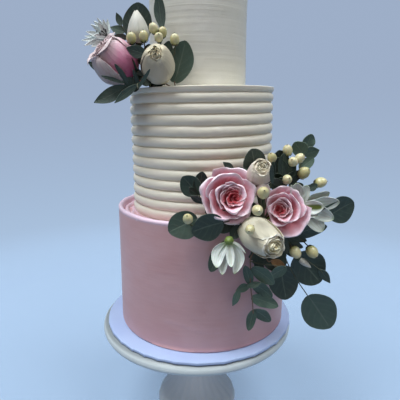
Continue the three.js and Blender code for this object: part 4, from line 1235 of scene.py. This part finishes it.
class CAKE_OT_greens(Operator):
    """Sepals, flower stems, the stems that hold each spray in the cake, and small dark leaves inside the sprays"""

    bl_idname = "cake.greens"
    bl_label = "Sepals and inner greens"

    def execute(self, context):
        colours = context.scene.cake_colours
        random = np.random.default_rng(81)
        stems, sepals, inner = Body(), Body(), Body()
        for seat, tip, radius, reach in HEADS.values():
            seat, tip = np.array(seat, float), np.array(tip, float)
            way, length = unit(tip - seat), np.linalg.norm(tip - seat)
            stems.add(tube([seat + way * 2, seat - way * 6, from_heart(seat, 0.1)], (2.2, 1.6)), tone=0.15)
            cup = [(0, -3), (2, -2.4), (0.16 * radius + 1.6, 0), (0.3 * radius + 1, 2.5), (0.25 * radius, 3.5), (0, 3)]
            stems.add(aimed(turned(smooth(cup, 3), 14), seat, tip), tone=0.1)
            line = np.stack(along_line(SEPAL_LINE, np.linspace(0, reach, 6)), -1)
            for step in range(5):
                turn = CIRCLE * step / 5 + 0.5
                grid, along, across = petal(turn, 0.2, line, 0.9, 0, 0.02, step, 0, (7, 13))
                made = aimed(thin(grid * [radius, radius, length], 0.45), seat, tip)
                sepals.add(made, along=along, across=across, tone=random.uniform(0, 0.6))
        for heart, entry in ((RIGHT_HEART, (58, -74, 287)), (TOP_HEART, (-46, -50, 440))):
            for step in range(5):
                shift = random.uniform(-3, 3, 3)
                stems.add(tube([heart + shift, (heart + entry) / 2 + shift, entry + shift * 0.7], 1.4), tone=0.3)
        for number, leaf in enumerate(INNER_LEAVES):
            tone, roll = random.uniform(0, 0.3), random.uniform(-25, 25)
            add_blade(inner, 0.5, (*leaf, roll), {"tone": tone}, seed=100 + number)
        for node in INNER_TWIGS:
            heart = heart_of(node)
            stems.add(tube([heart, (heart + node) / 2 + [0, -2, -1], node], 1.2), tone=0.2)
        for heart, count, spread in ((RIGHT_HEART, 22, (30, 12, 30)), (TOP_HEART, 10, (17, 8, 14))):
            for step in range(count):
                way = unit(random.normal(size=3) * [1, 0.35, 1])
                base, tip = heart + way * 4, heart + way * random.uniform(0.75, 1.0) * spread
                tip[1] = min(tip[1], heart[1] + 6)
                width, tone, roll = random.uniform(9, 15), random.uniform(0, 0.25), random.uniform(-60, 60)
                if not meets_flower(base, tip):
                    add_blade(inner, 0.5, (*base, *tip, width, roll, ROUND, 0.1), {"tone": tone}, seed=step)
        stems.piece("flower_stems", stalk_look(), "green_leaf")
        dark = leaf_look("sepal", tinted(colours.leaf_dark, 0.8), colours.leaf_light, (0.12, 0.16, 0.08))
        sepals.piece("sepals", dark, "green_leaf")
        inner.piece("inner_leaves", dark, "green_leaf")
        return {"FINISHED"}


# ---------------------------------------------------------------- stage

# The floor is partly clear, so that the sky's colour shows through it and it has no far edge.
FLOOR_RADIUS, FLOOR_ALPHA = 1400, 0.37
SKY_LOW, SKY_HIGH, SKY_GLOW = (0.455, 0.635, 0.86), (0.340, 0.425, 0.575), (0.060, 0.056, 0.052)
LAMPS = [
    # name, place, size, watts, colour. Every lamp points at LAMP_TARGET.
    ("left", (-1.73, -0.83, 4.5), 2.25, 206, (0.93, 0.98, 1.0)),
    ("right", (1.65, -0.68, 4.5), 2.25, 150, (0.93, 0.98, 1.0)),
    ("front", (0.0, -2.2, 1.2), 1.2, 6, (1.0, 0.82, 0.70)),
]
LAMP_TARGET = Vector((0, 0, 0.3))
# The camera's focal length in picture widths, its place, and how far it looks down and leans, in degrees.
SENSOR, FOCAL_LENGTH = 36.0, 392.4 / 400
CAMERA_PLACE, CAMERA_DOWN, CAMERA_TURN = (0.0033, -0.515, 0.4204), 12.83, -0.15


class CAKE_OT_stage(Operator):
    """Pale floor, soft light and the camera"""

    bl_idname = "cake.stage"
    bl_label = "Stage"

    def execute(self, context):
        scene = context.scene
        line = [(0, -2), (FLOOR_RADIUS, -2), *((wide, 0) for wide in range(FLOOR_RADIUS, -1, -50))]
        shade = Shade("floor_paint", roughness=0.9)
        spread = shade.node("VectorMath", {0: shade.place()}, 1, operation="LENGTH")
        base = shade.mix(shade.noise(6, 2), (0.38, 0.51, 0.69), (0.40, 0.53, 0.71))
        look = shade.done(base_color=base, alpha=spread.step(1.1, 0.3) * FLOOR_ALPHA)
        new_object("floor", new_mesh("floor", *turned(line, 96), look))

        scene.world = bpy.data.worlds.new("studio")
        scene.world.use_nodes = True
        sky = Nodes(scene.world.node_tree)
        height = sky.node("SeparateXYZ", {0: sky.node("TexCoord")}, 2)
        seen = sky.mix(height.step(-0.66, 0.1), SKY_LOW, SKY_HIGH)
        lit = sky.mix(sky.node("LightPath", out="Is Diffuse Ray"), seen, SKY_GLOW)
        sky.feed(sky.tree.nodes["Background"].inputs[0], lit)

        for name, place, size, watts, tone in LAMPS:
            light = bpy.data.lights.new(name, "AREA")
            light.size, light.energy, light.color = size, watts, tone
            lamp = new_object(name, light)
            lamp.location = place
            lamp.rotation_euler = (LAMP_TARGET - Vector(place)).to_track_quat("-Z", "Y").to_euler()

        lens = bpy.data.cameras.new("camera")
        lens.sensor_width, lens.lens = SENSOR, FOCAL_LENGTH * SENSOR
        lens.clip_start, lens.clip_end = 0.01, 50
        camera = new_object("camera", lens)
        camera.location = CAMERA_PLACE
        camera.rotation_euler = (math.radians(90 - CAMERA_DOWN), 0, math.radians(CAMERA_TURN))
        scene.camera = camera
        scene.view_settings.view_transform = "Standard"
        return {"FINISHED"}


# ---------------------------------------------------------------- sidebar and main

OPERATORS = (
    CAKE_OT_stand,
    CAKE_OT_board,
    CAKE_OT_bottom_tier,
    CAKE_OT_middle_tier,
    CAKE_OT_top_tier,
    CAKE_OT_roses,
    CAKE_OT_buds,
    CAKE_OT_berries,
    CAKE_OT_leaves,
    CAKE_OT_lilies,
    CAKE_OT_star_flower,
    CAKE_OT_greens,
    CAKE_OT_stage,
)


class CAKE_PT_panel(Panel):
    """Lists the cake's pieces, sizes and colours"""

    bl_idname = "CAKE_PT_panel"
    bl_label = "Wedding cake"
    bl_space_type = "VIEW_3D"
    bl_region_type = "UI"
    bl_category = "Cake"

    def draw(self, context):
        column = self.layout.column(align=True)
        for operator in OPERATORS:
            column.operator(operator.bl_idname)
        for group in (context.scene.cake_sizes, context.scene.cake_colours):
            column = self.layout.column()
            for name in group.bl_rna.properties.keys():
                if name not in ("rna_type", "name"):
                    column.prop(group, name)


CLASSES = (CakeColours, CakeSizes, *OPERATORS, CAKE_PT_panel)


def register():
    for made in CLASSES:
        bpy.utils.register_class(made)
    bpy.types.Scene.cake_sizes = PointerProperty(type=CakeSizes)
    bpy.types.Scene.cake_colours = PointerProperty(type=CakeColours)


def unregister():
    del bpy.types.Scene.cake_colours
    del bpy.types.Scene.cake_sizes
    for made in reversed(CLASSES):
        bpy.utils.unregister_class(made)


def main():
    register()
    for operator in OPERATORS:
        getattr(bpy.ops.cake, operator.bl_idname.split(".")[1])()
    bpy.context.view_layer.update()


if __name__ == "__main__":
    main()
